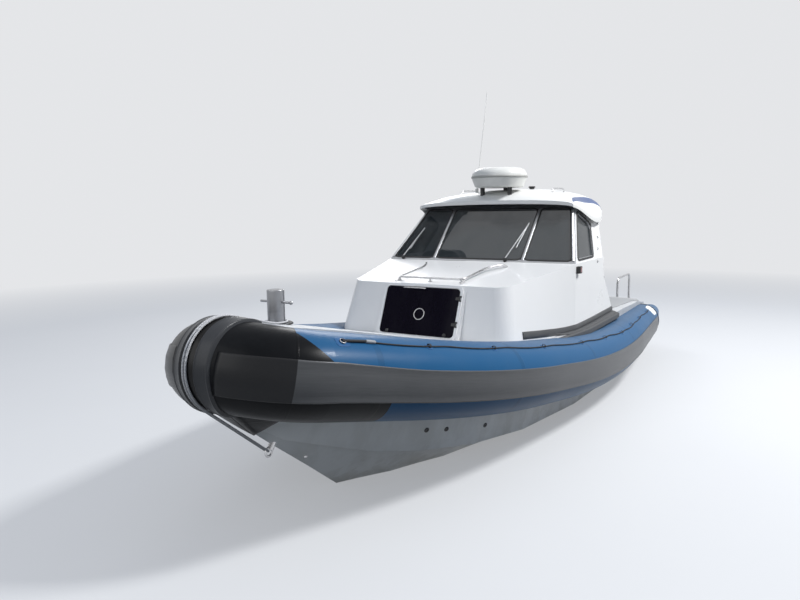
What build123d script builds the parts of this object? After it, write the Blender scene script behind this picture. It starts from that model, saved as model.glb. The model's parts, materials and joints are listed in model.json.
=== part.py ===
from build123d import *
import math
import os

os.makedirs("parts", exist_ok=True)

# Frame: +Z up with zero at the waterline, bow toward -Y, port side toward +X.
# Lengths are in millimetres. "aft" is measured from the nose datum, "out" from
# the centre plane and "up" from the waterline.
MIDSHIP = 4000.0
GAP = 0.3
RUNNING_GAP = 6.0


# Buoyancy tubes
TUBE_RADIUS = 288.0
TUBE_END_RADIUS = 236.0
TUBE_TIP_RADIUS = 118.0
TAPER_START = 5500.0
CONE_START = 7020.0
TUBE_END = 7850.0
SEAM_RUN = 260.0
# columns: aft, out, up, share of the shorter run used by the bend
TUBE_ROUTE = [
    (305.0, 0.0, 1165.0, 0.0),
    (420.0, 320.0, 1110.0, 0.80),
    (2100.0, 940.0, 760.0, 0.45),
    (4350.0, 1190.0, 470.0, 0.90),
    (7020.0, 1110.0, 500.0, 0.0),
]
BAND_THICKNESS = 13.0
BAND_HALF_ANGLE = 22.0
BAND_END = 6950.0
GUARD_HALF_WIDTH = 122.0
GUARD_GROOVE = 20.0
GUARD_BASE = 5.0
GUARD_THICKNESS = 16.0
GUARD_AFT = 430.0

# Hull and deck
# columns: aft, keel up, chine out, chine up, side out, deck out, deck up
STATIONS = [
    (330.0, 812.0, 20.0, 838.0, 60.0, 60.0, 1392.0),
    (700.0, 525.0, 60.0, 590.0, 330.0, 300.0, 1352.0),
    (1050.0, 262.0, 165.0, 455.0, 500.0, 470.0, 1285.0),
    (1390.0, 0.0, 300.0, 330.0, 640.0, 620.0, 1207.0),
    (1800.0, -235.0, 480.0, 235.0, 790.0, 770.0, 1115.0),
    (2300.0, -350.0, 680.0, 165.0, 900.0, 900.0, 985.0),
    (3000.0, -395.0, 850.0, 110.0, 1000.0, 1030.0, 884.0),
    (4200.0, -415.0, 965.0, 50.0, 1080.0, 1142.0, 862.0),
    (5700.0, -410.0, 1000.0, 15.0, 1080.0, 1146.0, 850.0),
    (6840.0, -403.0, 990.0, 4.0, 1050.0, 1100.0, 800.0),
    (7450.0, -400.0, 985.0, 0.0, 1040.0, 1060.0, 715.0),
]
CHINE_FLAT = 55.0
CHINE_DROP = 12.0
# columns: aft, up of the joint between hull and deck
DECK_JOINT = [
    (305.0, 1165.0),
    (420.0, 1110.0),
    (2100.0, 760.0),
    (4350.0, 470.0),
    (7450.0, 505.0),
]
SOLE_UP = 270.0
WELL_FRONT = 2860.0
WELL_HALF_FRONT = 640.0
WELL_BEND = 3300.0
WELL_HALF = 840.0
TRANSOM_FACE = 7450.0
TRANSOM_THICKNESS = 75.0
TRANSOM_NOTCH_HALF = 470.0
TRANSOM_NOTCH_UP = 420.0
GUTTER_WIDTH = 26.0
GUTTER_DEPTH = 8.0
COCKPIT_PAD_FRONT = 5720.0
COCKPIT_PAD_HALF = 780.0

# Cabin
CABIN_WALL = 30.0
# columns: up, front aft, front half width, middle aft, middle half, end half
CABIN_RINGS = [
    (830.0, 2660.0, 905.0, 3950.0, 1092.0, 1096.0),
    (1530.0, 2862.0, 775.0, 3950.0, 1080.0, 1066.0),
]
CABIN_END = 5450.0
CABIN_CORNER = 150.0
TRUNK_FRONT_UP = 1405.0
HATCH_HOUSE_HALF = 437.0
HATCH_TOP = (2818.0, 1378.0)
HATCH_BOTTOM = (2634.0, 941.0)
HATCH_WIDTH = 760.0
HATCH_HEIGHT = 450.0
HATCH_THICKNESS = 14.0
HATCH_CORNER = 34.0
HATCH_FRAME_RIM = 34.0
HATCH_RECESS = 8.0

# Wheelhouse
SILL_UP = 1530.0
SCREEN_BASE_AFT = 3956.0
SCREEN_BASE_HALF = CABIN_RINGS[1][4] - 5.0
SCREEN_TOP_AFT = 4530.0
SCREEN_TOP_UP = 2100.0
SCREEN_TOP_HALF = 880.0
ABOVE_ROOF = SCREEN_TOP_UP + 800.0
# columns: aft, up along the hollowed rear edge of the cabin side
CABIN_TAIL = [
    (CABIN_END, CABIN_RINGS[0][0] + 10.0),
    (CABIN_END - 180.0, SILL_UP - 460.0),
    (CABIN_END - 390.0, SILL_UP - 230.0),
    (CABIN_END - 400.0, SILL_UP),
    (CABIN_END - 188.0, SCREEN_TOP_UP - 265.0),
    (CABIN_END - 10.0, SCREEN_TOP_UP - 110.0),
    (CABIN_END + 250.0, SCREEN_TOP_UP + 100.0),
]
FRAME_DEPTH = 30.0
FRAME_BAR = 34.0
MULLION_BAR = 30.0
MULLION_OUT = 515.0
GLASS_THICKNESS = 8.0
GLASS_SEAT = 10.0
SIDE_WALL = 30.0
# columns: aft, up of each side window corner, bend radius
SIDE_WINDOW = [
    (4072.0, SILL_UP + 28.0, 18.0),
    (4668.0, SILL_UP + 28.0, 26.0),
    (4925.0, SCREEN_TOP_UP - 195.0, 90.0),
    (4560.0, SCREEN_TOP_UP - 58.0, 30.0),
]

# Roof: columns aft, half width, edge up and crown up over the screen's top
ROOF_SHAPE = [
    (4380.0, 915.0, 18.0, 74.0),
    (4560.0, 955.0, -30.0, 166.0),
    (4980.0, 998.0, -150.0, 206.0),
    (5330.0, 970.0, -120.0, 216.0),
    (5600.0, 880.0, -58.0, 174.0),
]
ROOF_SHOULDER_OUT = 0.98
ROOF_SHOULDER_RISE = 0.85
ROOF_CROWN_OUT = 0.55
ROOF_CROWN_RISE = (32.0 - 10.0 * ROOF_SHOULDER_RISE) / 20.0
ROOF_STATIONS = [
    (aft, half, SCREEN_TOP_UP + edge, SCREEN_TOP_UP + crown)
    for aft, half, edge, crown in ROOF_SHAPE
]
ROOF_THICKNESS = 42.0
ROOF_RIM = 30.0
ROOF_SEAT = 0.8

# Rail, radome, aerial and lamps
RAIL_RADIUS = 11.0
RADOME_AFT = 4590.0
RADOME_RADIUS = 316.0
RADOME_HEIGHT = 225.0
RADOME_BASE_UP = SCREEN_TOP_UP + 218.0
DOME_CAP_HALF = 196.0
DOME_CAP_RISE = 9.0
AERIAL_AFT = 4700.0
AERIAL_OUT = -330.0
AERIAL_UP = SCREEN_TOP_UP + 185.0
AERIAL_LENGTH = 1180.0
AERIAL_LEAN = 14.0

# Samson post, eye and painter
POST_AFT = 785.0
POST_RADIUS = 58.0
POST_TOP_UP = 1575.0
POST_PIN_RADIUS = 8.0
POST_PIN_LENGTH = 262.0
POST_PIN_UP = 1492.0
EYE_AFT = 668.0
EYE_UP = 508.0

# Outboard engine
TILT_AFT = 7420.0
TILT_UP = 455.0
STEER_AFT = 7610.0
STEER_SHAFT_RADIUS = 30.0
SLEEVE_RADIUS = 56.0
SLEEVE_BOTTOM = 120.0
SLEEVE_TOP = 430.0
COWL_FRONT = 7470.0
COWL_LENGTH = 880.0
COWL_END = COWL_FRONT + COWL_LENGTH
COWL_HALF = 298.0
COWL_BOTTOM = 505.0
COWL_TOP = 1125.0
PLATE_UP = -432.0
PROP_AXIS_UP = -640.0
PROP_RADIUS = 190.0
HUB_RADIUS = 52.0
SKEG_UP = -860.0
GEARCASE_RADIUS = 70.0
PROP_BEHIND_STEER = 500.0
PROP_AFT = STEER_AFT + PROP_BEHIND_STEER

# Helm
DASH_DROP = 112.0
DASH_DEPTH = 374.0
DASH_WALL = 22.0
DASH_FACE = 190.0
DASH_UP = SILL_UP - DASH_DROP
DASH_END = SCREEN_BASE_AFT + DASH_DEPTH
HELM_OUT = -480.0
WHEEL_BEHIND_DASH = 160.0
WHEEL_BELOW_DASH = 183.0
WHEEL_AFT = DASH_END + WHEEL_BEHIND_DASH
WHEEL_UP = DASH_UP - WHEEL_BELOW_DASH
WHEEL_RADIUS = 185.0
WHEEL_GRIP = 14.0
WHEEL_TILT = 35.0


def point(aft, out, up):
    return Vector(out, aft - MIDSHIP, up)


def mirror_x(shape):
    return mirror(shape, about=Plane.YZ)


def write(shape, name):
    export_step(shape, f"parts/{name}.step")


def between(table, aft, column):
    """Reads a table column at a distance aft, straight between its rows."""
    for low, high in zip(table, table[1:]):
        if aft <= high[0]:
            share = (aft - low[0]) / (high[0] - low[0])
            return low[column] + share * (high[column] - low[column])
    return table[-1][column]


def block(aft, out, up):
    """A box from pairs of limits."""
    size = (out[1] - out[0], aft[1] - aft[0], up[1] - up[0])
    centre = point((aft[0] + aft[1]) / 2, (out[0] + out[1]) / 2, (up[0] + up[1]) / 2)
    return Pos(*tuple(centre)) * Box(*size)


def rod(start, end, radius):
    """A round bar between two points."""
    along = end - start
    plane = Plane(origin=start, z_dir=along.normalized())
    return Solid.make_cylinder(radius, along.length, plane)


def side_prism(outline, out_low, out_high):
    """Extrudes an outline given as (aft, up) pairs across the boat."""
    corners = [point(aft, out_low, up) for aft, up in outline]
    face = Face(Wire.make_polygon(corners, close=True))
    return Solid.extrude(face, Vector(out_high - out_low, 0, 0))


def bend_radii(points, shares):
    radii = []
    for index, share in enumerate(shares, start=1):
        back = points[index - 1] - points[index]
        ahead = points[index + 1] - points[index]
        turn = math.radians(180.0 - back.get_angle(ahead))
        radii.append(share * min(back.length, ahead.length) / math.tan(turn / 2))
    return radii


def pipe(points, shares, radius):
    """A round bar along straight runs joined by tangent arcs."""
    route = FilletPolyline(*points, radius=bend_radii(points, shares))
    start = Plane(origin=route @ 0, z_dir=route % 0)
    return sweep(start * Circle(radius), path=route)


# Tube spine, run back across the centre plane so that both halves are mitred
knots = [point(aft, out, up) for aft, out, up, share in TUBE_ROUTE]
first_run = (knots[1] - knots[0]).normalized()
last_run = (knots[4] - knots[3]).normalized()


def on_last_run(aft):
    return knots[3] + last_run * ((aft - TUBE_ROUTE[3][0]) / last_run.Y)


spine_points = [knots[0] - first_run * 150.0] + knots[1:4] + [on_last_run(TAPER_START)]
spine_shares = [row[3] for row in TUBE_ROUTE[1:4]]
spine = FilletPolyline(*spine_points, radius=bend_radii(spine_points, spine_shares))
spine_start = Plane(origin=spine @ 0, z_dir=spine % 0)
port_side = block((-500, 9000), (0, 2500), (-1500, 2500))


def cone(aft_low, aft_high, radius_low, radius_high):
    low = on_last_run(aft_low)
    length = (on_last_run(aft_high) - low).length
    plane = Plane(origin=low, z_dir=last_run)
    return Solid.make_cone(radius_low, radius_high, length, plane)


def tube_body(extra):
    """The port tube grown by a clearance, from the centre plane to its tip."""
    bent = sweep(spine_start * Circle(TUBE_RADIUS + extra), path=spine)
    taper = cone(TAPER_START, CONE_START, TUBE_RADIUS + extra, TUBE_END_RADIUS + extra)
    tip = cone(CONE_START, TUBE_END, TUBE_END_RADIUS + extra, TUBE_TIP_RADIUS + extra)
    return (bent + taper + tip) & port_side


tube = tube_body(0.0)
tube_clear = tube_body(GAP)
both_tubes_clear = tube_clear + mirror_x(tube_clear)

seam_plane = Plane(
    origin=knots[1] + (knots[2] - knots[1]).normalized() * SEAM_RUN,
    z_dir=(knots[2] - knots[1]).normalized(),
)
ahead_of_seam = split(tube, bisect_by=seam_plane, keep=Keep.BOTTOM)
behind_seam = split(tube, bisect_by=seam_plane, keep=Keep.TOP)
tube_bow = ahead_of_seam + mirror_x(ahead_of_seam)

# Rubbing bands: a shell slice on the outboard side of each tube
band_half = TUBE_RADIUS * math.sin(math.radians(BAND_HALF_ANGLE))
band_reach = TUBE_RADIUS + BAND_THICKNESS


def band_slab(first_aft):
    """A flat ribbon that follows the tube's height and spans the band."""
    rows = [(first_aft, between(TUBE_ROUTE, first_aft, 2))]
    rows += [(row[0], row[2]) for row in TUBE_ROUTE if row[0] > first_aft]
    upper = [(aft, up + band_half) for aft, up in rows]
    lower = [(aft, up - band_half) for aft, up in rows]
    return side_prism(upper + lower[::-1], 0.0, 1600.0)


band_shell = tube_body(BAND_THICKNESS) - tube_clear

outboard_plan = [(row[0], row[1]) for row in TUBE_ROUTE]
outboard_plan += [(7100.0, 1900.0), (-400.0, 1900.0), (-400.0, 0.0)]
outboard_face = Face(Wire.make_polygon([point(a, o, -200) for a, o in outboard_plan]))
outboard_side = Solid.extrude(outboard_face, Vector(0, 0, 2200))
guard_side = block((-400, GUARD_AFT), (0, GUARD_HALF_WIDTH + GAP), (600, 1700))
band = band_shell & band_slab(305.0) & outboard_side & block((-400, BAND_END), (0, 2000), (-100, 2000))
band = band - guard_side

# Bow guard: a base strap with two raised pads and a groove between them
guard_base = (tube_body(GUARD_BASE) - tube_clear) & block(
    (-400, GUARD_AFT), (0, GUARD_HALF_WIDTH), (0, 2000)
)
guard_pad = (tube_body(GUARD_THICKNESS) - tube_clear) & block(
    (-400, GUARD_AFT), (GUARD_GROOVE, GUARD_HALF_WIDTH), (0, 2000)
)
guard_half = guard_base + guard_pad
bow_guard = guard_half + mirror_x(guard_half)


def full_section(aft, half_profile):
    """A closed face from (out, up) pairs on the port side and their mirror images."""
    port = [point(aft, out, up) for out, up in half_profile]
    starboard = [point(aft, -out, up) for out, up in reversed(half_profile) if out > 0]
    return Face(Wire.make_polygon(port + starboard, close=True))


def hull_section(row):
    aft, keel_up, chine_out, chine_up, side_out, deck_out, deck_up = row
    flat = min(CHINE_FLAT, 0.6 * chine_out)
    joint = between(DECK_JOINT, aft, 1)
    profile = [
        (0.0, keel_up),
        (chine_out, chine_up),
        (chine_out + flat, chine_up - CHINE_DROP),
        (side_out, joint),
        (0.0, joint),
    ]
    return full_section(aft, profile)


def deck_section(row):
    aft, keel_up, chine_out, chine_up, side_out, deck_out, deck_up = row
    joint = between(DECK_JOINT, aft, 1)
    profile = [(0.0, joint), (side_out, joint), (deck_out, deck_up), (0.0, deck_up + 8.0)]
    return full_section(aft, profile)


well_plan = [
    (WELL_FRONT, -WELL_HALF_FRONT),
    (WELL_FRONT, WELL_HALF_FRONT),
    (WELL_BEND, WELL_HALF),
    (TRANSOM_FACE - TRANSOM_THICKNESS, WELL_HALF),
    (TRANSOM_FACE - TRANSOM_THICKNESS, -WELL_HALF),
    (WELL_BEND, -WELL_HALF),
]
well_face = Face(Wire.make_polygon([point(a, o, SOLE_UP) for a, o in well_plan]))
well = Solid.extrude(well_face, Vector(0, 0, 2500))
notch = block(
    (TRANSOM_FACE - 400, TRANSOM_FACE + 100),
    (-TRANSOM_NOTCH_HALF, TRANSOM_NOTCH_HALF),
    (TRANSOM_NOTCH_UP, 2000),
)
hull = Solid.make_loft([hull_section(row).outer_wire() for row in STATIONS], ruled=True)
hull = hull - both_tubes_clear - well - notch - (guard_side + mirror_x(guard_side))

# Drain channel round the cockpit floor
pad_end = TRANSOM_FACE - TRANSOM_THICKNESS - 60.0
pad_length = pad_end - COCKPIT_PAD_FRONT
pad = RectangleRounded(2 * COCKPIT_PAD_HALF, pad_length, 60.0)
pad_and_gutter = offset(pad, GUTTER_WIDTH)
gutter = extrude(pad_and_gutter - pad, GUTTER_DEPTH)
hull = hull - Pos(*tuple(point((COCKPIT_PAD_FRONT + pad_end) / 2, 0, SOLE_UP - GUTTER_DEPTH))) * gutter
deck = Solid.make_loft([deck_section(row).outer_wire() for row in STATIONS], ruled=True)
deck = deck - both_tubes_clear - well - notch - (guard_side + mirror_x(guard_side))
deck_block = Solid.make_loft([deck_section(row).outer_wire() for row in STATIONS], ruled=True)
deck_raised = Pos(0, 0, GAP) * deck_block


# Cabin moulding: two plan outlines joined by straight walls
def cabin_ring(row, inset, up, end):
    ring_up, front_aft, front_half, middle_aft, middle_half, end_half = row
    plan = [
        (front_aft + inset, front_half - inset),
        (middle_aft, middle_half - inset),
        (end, end_half - inset),
    ]
    port = [point(aft, out, up) for aft, out in plan]
    starboard = [point(aft, -out, up) for aft, out in reversed(plan)]
    face = Face(Wire.make_polygon(port + starboard, close=True))
    front = face.vertices().sort_by(Axis.Y)[:2]
    return face.fillet_2d(CABIN_CORNER - inset, front)


def cabin_core(inset, end):
    low, high = CABIN_RINGS
    lower = cabin_ring(low, inset, low[0] - inset, end)
    upper = cabin_ring(high, inset, high[0] + inset, end)
    return Solid.make_loft([lower.outer_wire(), upper.outer_wire()], ruled=True)


coach_slope = (SILL_UP - TRUNK_FRONT_UP) / (SCREEN_BASE_AFT - CABIN_RINGS[1][1])


def coach_up(aft):
    return SILL_UP - (SCREEN_BASE_AFT - aft) * coach_slope


above_coach = side_prism(
    [
        (2300, coach_up(2300)),
        (SCREEN_BASE_AFT, SILL_UP),
        (6000, SILL_UP),
        (6000, ABOVE_ROOF),
        (2300, ABOVE_ROOF),
    ],
    -1500,
    1500,
)
inner_end = SCREEN_BASE_AFT - 12.0
above_liner = side_prism(
    [
        (2300, coach_up(2300) - CABIN_WALL),
        (inner_end, coach_up(inner_end) - CABIN_WALL),
        (inner_end, ABOVE_ROOF),
        (2300, ABOVE_ROOF),
    ],
    -1500,
    1500,
)
behind_tail = side_prism(CABIN_TAIL + [(6500, CABIN_TAIL[-1][1]), (6500, CABIN_TAIL[0][1])], -1500, 1500)

house_slope = Vector(0, HATCH_TOP[0] - HATCH_BOTTOM[0], HATCH_TOP[1] - HATCH_BOTTOM[1])
house_length = house_slope.length
house_dir = house_slope.normalized()
hatch_middle = point((HATCH_TOP[0] + HATCH_BOTTOM[0]) / 2, 0, (HATCH_TOP[1] + HATCH_BOTTOM[1]) / 2)
hatch_plane = Plane(origin=hatch_middle, x_dir=(1, 0, 0), z_dir=Vector(1, 0, 0).cross(house_dir))
house_low = hatch_middle - house_dir * (house_length / 2 + 110.0)
house_high = hatch_middle + house_dir * (house_length / 2 + HATCH_FRAME_RIM)
house = side_prism(
    [
        (house_low.Y + MIDSHIP, house_low.Z),
        (house_high.Y + MIDSHIP, house_high.Z),
        (2960.0, house_high.Z),
        (2960.0, house_low.Z),
    ],
    -HATCH_HOUSE_HALF,
    HATCH_HOUSE_HALF,
)
hatch_hole = hatch_plane * Pos(0, 0, -150) * extrude(
    RectangleRounded(HATCH_WIDTH - 70, HATCH_HEIGHT - 70, HATCH_CORNER), 400
)
hatch_rim = RectangleRounded(
    HATCH_WIDTH + 2 * HATCH_FRAME_RIM, HATCH_HEIGHT + 2 * HATCH_FRAME_RIM, HATCH_CORNER + HATCH_FRAME_RIM
)
before_hatch = hatch_plane * extrude(hatch_rim, 60.0)
cabin_outer = cabin_core(0.0, CABIN_END + 200.0) + house - above_coach - before_hatch
cabin_inner = cabin_core(CABIN_WALL, CABIN_END + 400.0) - above_liner
cabin = cabin_outer - cabin_inner - behind_tail - deck_raised - hatch_hole - both_tubes_clear

# Hatch frame, lid, hinges and latch
hatch_gap = RectangleRounded(
    HATCH_WIDTH + 2 * RUNNING_GAP, HATCH_HEIGHT + 2 * RUNNING_GAP, HATCH_CORNER + RUNNING_GAP
)
hatch_frame = hatch_plane * Pos(0, 0, GAP) * extrude(hatch_rim - hatch_gap, HATCH_THICKNESS)
hatch_frame = hatch_frame - deck_raised
lid = Pos(0, 0, GAP) * extrude(RectangleRounded(HATCH_WIDTH, HATCH_HEIGHT, HATCH_CORNER), HATCH_THICKNESS)
HINGE_OUT = HATCH_WIDTH / 2 + 14.0
HINGE_HEIGHT = HATCH_THICKNESS + 9.0
HINGE_PIN_RADIUS = 3.0
HINGE_RADIUS = 7.0
HINGE_HALF = 13.0
# places of the two hinges along the port edge, measured up the slope
HINGE_PLACES = (-105.0, 135.0)
RING_RADIUS = 58.0


def along_edge(place, low, high, radius, bore):
    plane = Plane(origin=(HINGE_OUT, place + low, HINGE_HEIGHT), z_dir=(0, 1, 0))
    outer = Solid.make_cylinder(radius, high - low, plane)
    if bore == 0:
        return outer
    return outer - Solid.make_cylinder(bore, high - low, plane)


hinge_solids = []
leaf_solids = []
for place in HINGE_PLACES:
    hinge = along_edge(place, -26.0, -HINGE_HALF - GAP, HINGE_RADIUS, 0)
    hinge += along_edge(place, HINGE_HALF + GAP, 26.0, HINGE_RADIUS, 0)
    hinge += along_edge(place, -26.0, 26.0, HINGE_PIN_RADIUS, 0)
    foot_top = HINGE_HEIGHT
    for side in (-1, 1):
        foot = Pos(HINGE_OUT + 5.0, place + side * 19.7, (foot_top + HATCH_THICKNESS) / 2 + GAP)
        hinge += foot * Box(18.0, 12.0, foot_top - HATCH_THICKNESS)
    hinge_solids.append(hatch_plane * hinge)
    leaf = along_edge(place, -HINGE_HALF, HINGE_HALF, HINGE_RADIUS, 0)
    leaf += Pos(HINGE_OUT - 24.0, place, HATCH_THICKNESS + GAP * 2 + 2.5) * Box(36.0, 2 * HINGE_HALF, 5.0)
    leaf -= along_edge(place, -HINGE_HALF, HINGE_HALF, HINGE_PIN_RADIUS + GAP, 0)
    leaf_solids.append(hatch_plane * leaf)
hatch_hinges = Compound(hinge_solids)
ring = extrude(Circle(RING_RADIUS) - Circle(RING_RADIUS - 9.0), 4.0)
latch_bar = Pos(-20.0, HATCH_HEIGHT / 2 - 22.0, 0) * extrude(RectangleRounded(150.0, 16.0, 7.0), 7.0)
latch_place = Pos(HATCH_WIDTH / 2 - 26.0, -HATCH_HEIGHT / 2 + 20.0, 0)
corner_latch = latch_place * extrude(RectangleRounded(34.0, 18.0, 6.0), 9.0)
lid_top = Pos(0, 0, HATCH_THICKNESS + GAP)
hatch_lid = hatch_plane * (lid + lid_top * ring + lid_top * latch_bar + lid_top * corner_latch)
hatch_leaves = Compound(leaf_solids)

# Wheelhouse front: a raked frame with two mullions and three panes
rake = Vector(0, SCREEN_TOP_AFT - SCREEN_BASE_AFT, SCREEN_TOP_UP - SILL_UP)
rake_dir = rake.normalized()
screen_plane = Plane(
    origin=point(SCREEN_BASE_AFT, 0, SILL_UP + GAP),
    x_dir=(1, 0, 0),
    z_dir=Vector(1, 0, 0).cross(rake_dir),
)
HEADER_RUN = 230.0
screen_fall = (SCREEN_BASE_HALF - SCREEN_TOP_HALF) / rake.length


def screen_half(run, inset):
    return SCREEN_BASE_HALF - screen_fall * run - inset


def quad(low_left, low_right, high_right, high_left):
    return make_face(Polyline(low_left, low_right, high_right, high_left, close=True))


screen_height = rake.length + HEADER_RUN
screen_outline = quad(
    (-screen_half(0, 0), 0),
    (screen_half(0, 0), 0),
    (screen_half(screen_height, 0), screen_height),
    (-screen_half(screen_height, 0), screen_height),
)
pane_low = FRAME_BAR
pane_high = rake.length - FRAME_BAR
mullion_half = MULLION_BAR / 2
centre_pane = quad(
    (-MULLION_OUT + mullion_half, pane_low),
    (MULLION_OUT - mullion_half, pane_low),
    (MULLION_OUT - mullion_half, pane_high),
    (-MULLION_OUT + mullion_half, pane_high),
)
port_pane = quad(
    (MULLION_OUT + mullion_half, pane_low),
    (screen_half(pane_low, FRAME_BAR), pane_low),
    (screen_half(pane_high, FRAME_BAR), pane_high),
    (MULLION_OUT + mullion_half, pane_high),
)
panes = [centre_pane, port_pane, mirror(port_pane, about=Plane.YZ)]
frame_sketch = screen_outline
for pane in panes:
    frame_sketch = frame_sketch - pane


def roof_arch(aft, half, edge_up, crown_up):
    """A crown that is nearly flat and turns down in a rounded shoulder on each side."""
    rise = crown_up - edge_up
    port = [
        point(aft, half, edge_up),
        point(aft, half * ROOF_SHOULDER_OUT, edge_up + rise * ROOF_SHOULDER_RISE),
        point(aft, half * ROOF_CROWN_OUT, edge_up + rise * ROOF_CROWN_RISE),
    ]
    return Bezier(*port, *[Vector(-p.X, p.Y, p.Z) for p in reversed(port)])


def roof_section(row, lowered, lid_up):
    aft, half, edge_up, crown_up = row
    low_edge = edge_up - ROOF_RIM - lowered
    low_crown = crown_up - ROOF_THICKNESS - lowered
    bottom = roof_arch(aft, half, low_edge, low_crown)
    if lid_up:
        corners = [point(aft, -half, low_edge), point(aft, -half, lid_up), point(aft, half, lid_up)]
        rest = [Line(a, b) for a, b in zip(corners, corners[1:] + [point(aft, half, low_edge)])]
    else:
        rest = [
            Line(point(aft, -half, low_edge), point(aft, -half, edge_up)),
            roof_arch(aft, half, edge_up, crown_up),
            Line(point(aft, half, edge_up), point(aft, half, low_edge)),
        ]
    return Wire([bottom.edge()] + [piece.edge() for piece in rest])


roof = Solid.make_loft([roof_section(row, 0.0, None) for row in ROOF_STATIONS])
under_roof_cut = Solid.make_loft([roof_section(row, ROOF_SEAT, ABOVE_ROOF) for row in ROOF_STATIONS])
below_sill = block((3000, 7000), (-1500, 1500), (500, SILL_UP + GAP))

screen_frame = screen_plane * Pos(0, 0, -FRAME_DEPTH) * extrude(frame_sketch, FRAME_DEPTH)
screen_frame = screen_frame - under_roof_cut - below_sill
glass_place = screen_plane * Pos(0, 0, -FRAME_DEPTH / 2)
glass_solids = [
    glass_place * extrude(offset(pane, -GAP, kind=Kind.INTERSECTION), GLASS_THICKNESS)
    for pane in panes
]
windscreen = Compound([solid for piece in glass_solids for solid in (piece - under_roof_cut).solids()])

# Wheelhouse sides: one raked plane each, windowed and hollowed at the rear
side_corner = point(SCREEN_BASE_AFT, SCREEN_BASE_HALF, SILL_UP)
side_rear = point(5200.0, 1062.0, SILL_UP)
side_top = point(SCREEN_TOP_AFT, SCREEN_TOP_HALF, SCREEN_TOP_UP)
side_normal = (side_rear - side_corner).cross(side_top - side_corner).normalized()
if side_normal.X < 0:
    side_normal = side_normal * -1
side_plane = Plane(origin=side_corner, x_dir=(side_rear - side_corner).normalized(), z_dir=side_normal)


def on_side(aft, up):
    """Local point of the side plane that lies at a distance aft and a height."""
    low = point(aft, 0, up)
    out = (side_corner - low).dot(side_normal) / side_normal.X
    local = side_plane.to_local_coords(low + Vector(out, 0, 0))
    return (local.X, local.Y)


side_outline = [
    (SCREEN_BASE_AFT, SILL_UP + GAP),
    (CABIN_END + 100, SILL_UP + GAP),
    (CABIN_END + 100, SCREEN_TOP_UP + 200),
    (SCREEN_TOP_AFT + 200, SCREEN_TOP_UP + 200),
]
side_face = make_face(Polyline(*[on_side(a, u) for a, u in side_outline], close=True))
window_face = make_face(Polyline(*[on_side(a, u) for a, u, r in SIDE_WINDOW], close=True))
for aft, up, radius in SIDE_WINDOW:
    spot = Vector(*on_side(aft, up), 0)
    corner = min(window_face.vertices(), key=lambda v: (Vector(*tuple(v)) - spot).length)
    window_face = fillet(corner, radius)
SIDE_FRAME_BAR = 16.0
ring_outer = offset(window_face, -GAP)
ring_inner = offset(window_face, -SIDE_FRAME_BAR)
pane_face = offset(window_face, -SIDE_FRAME_BAR - GAP)
ahead_of_screen = screen_plane * Pos(0, 600, -FRAME_DEPTH - GAP) * extrude(Rectangle(3000, 2400), 900)
side_panel = side_plane * Pos(0, 0, -SIDE_WALL) * extrude(side_face - window_face, SIDE_WALL)
side_panel = side_panel - ahead_of_screen - under_roof_cut - behind_tail - below_sill
side_panel = max(side_panel.solids(), key=lambda s: s.volume)
side_ring = side_plane * Pos(0, 0, -SIDE_WALL) * extrude(ring_outer - ring_inner, SIDE_WALL + 3.0)
side_ring = side_ring - under_roof_cut - below_sill
side_pane = side_plane * Pos(0, 0, -SIDE_WALL / 2) * extrude(pane_face, GLASS_THICKNESS)
side_rings = Compound(side_ring.solids() + mirror_x(side_ring).solids())
side_windows = Compound(side_pane.solids() + mirror_x(side_pane).solids())

# Rubber strips along the gunwale edge
STRIP_START = 3380.0
STRIP_END = 5440.0
STRIP_HEIGHT = 72.0
STRIP_DEPTH = 30.0


def deck_edge(aft):
    """Out and up of the deck edge at a distance aft."""
    return between(STATIONS, aft, 5), between(STATIONS, aft, 6)


def strip_section(aft):
    out, up = deck_edge(aft)
    out = out + GAP
    corners = [(out, up - STRIP_HEIGHT), (out + STRIP_DEPTH, up - STRIP_HEIGHT + 10)]
    corners += [(out + STRIP_DEPTH, up - 14), (out + 12, up - 1), (out, up - 1)]
    return Wire.make_polygon([point(aft, o, u) for o, u in corners], close=True)


strip_rows = [STRIP_START] + [row[0] for row in STATIONS if STRIP_START < row[0] < STRIP_END] + [STRIP_END]
side_strip = Solid.make_loft([strip_section(aft) for aft in strip_rows], ruled=True)
side_strip = side_strip - both_tubes_clear - (Pos(GAP, 0, 0) * deck_block)

# Cockpit coamings and their stainless hoops
COAMING_OUT = 1036.0
COAMING_WALL = 36.0
# columns: aft, up
COAMING_TOP = [(5462.0, 1030.0), (6780.0, 848.0), (7120.0, 800.0), (7330.0, 724.0)]
coaming_outline = COAMING_TOP + [(7330.0, 600.0), (5462.0, 600.0)]
coaming = side_prism(coaming_outline, COAMING_OUT - COAMING_WALL, COAMING_OUT)
coaming = coaming - deck_raised - both_tubes_clear
HOOP_FRONT = 6300.0
HOOP_END = 6980.0
HOOP_OUT = 948.0
HOOP_TOP = 1160.0
HOOP_RADIUS = 14.0
HOOP_FOOT = 34.0


def deck_up(aft, out):
    """Height of the deck surface, which is crowned by 8 mm at the centre."""
    edge_out, edge_up = deck_edge(aft)
    return edge_up + 8.0 * (1.0 - abs(out) / edge_out)


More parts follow.
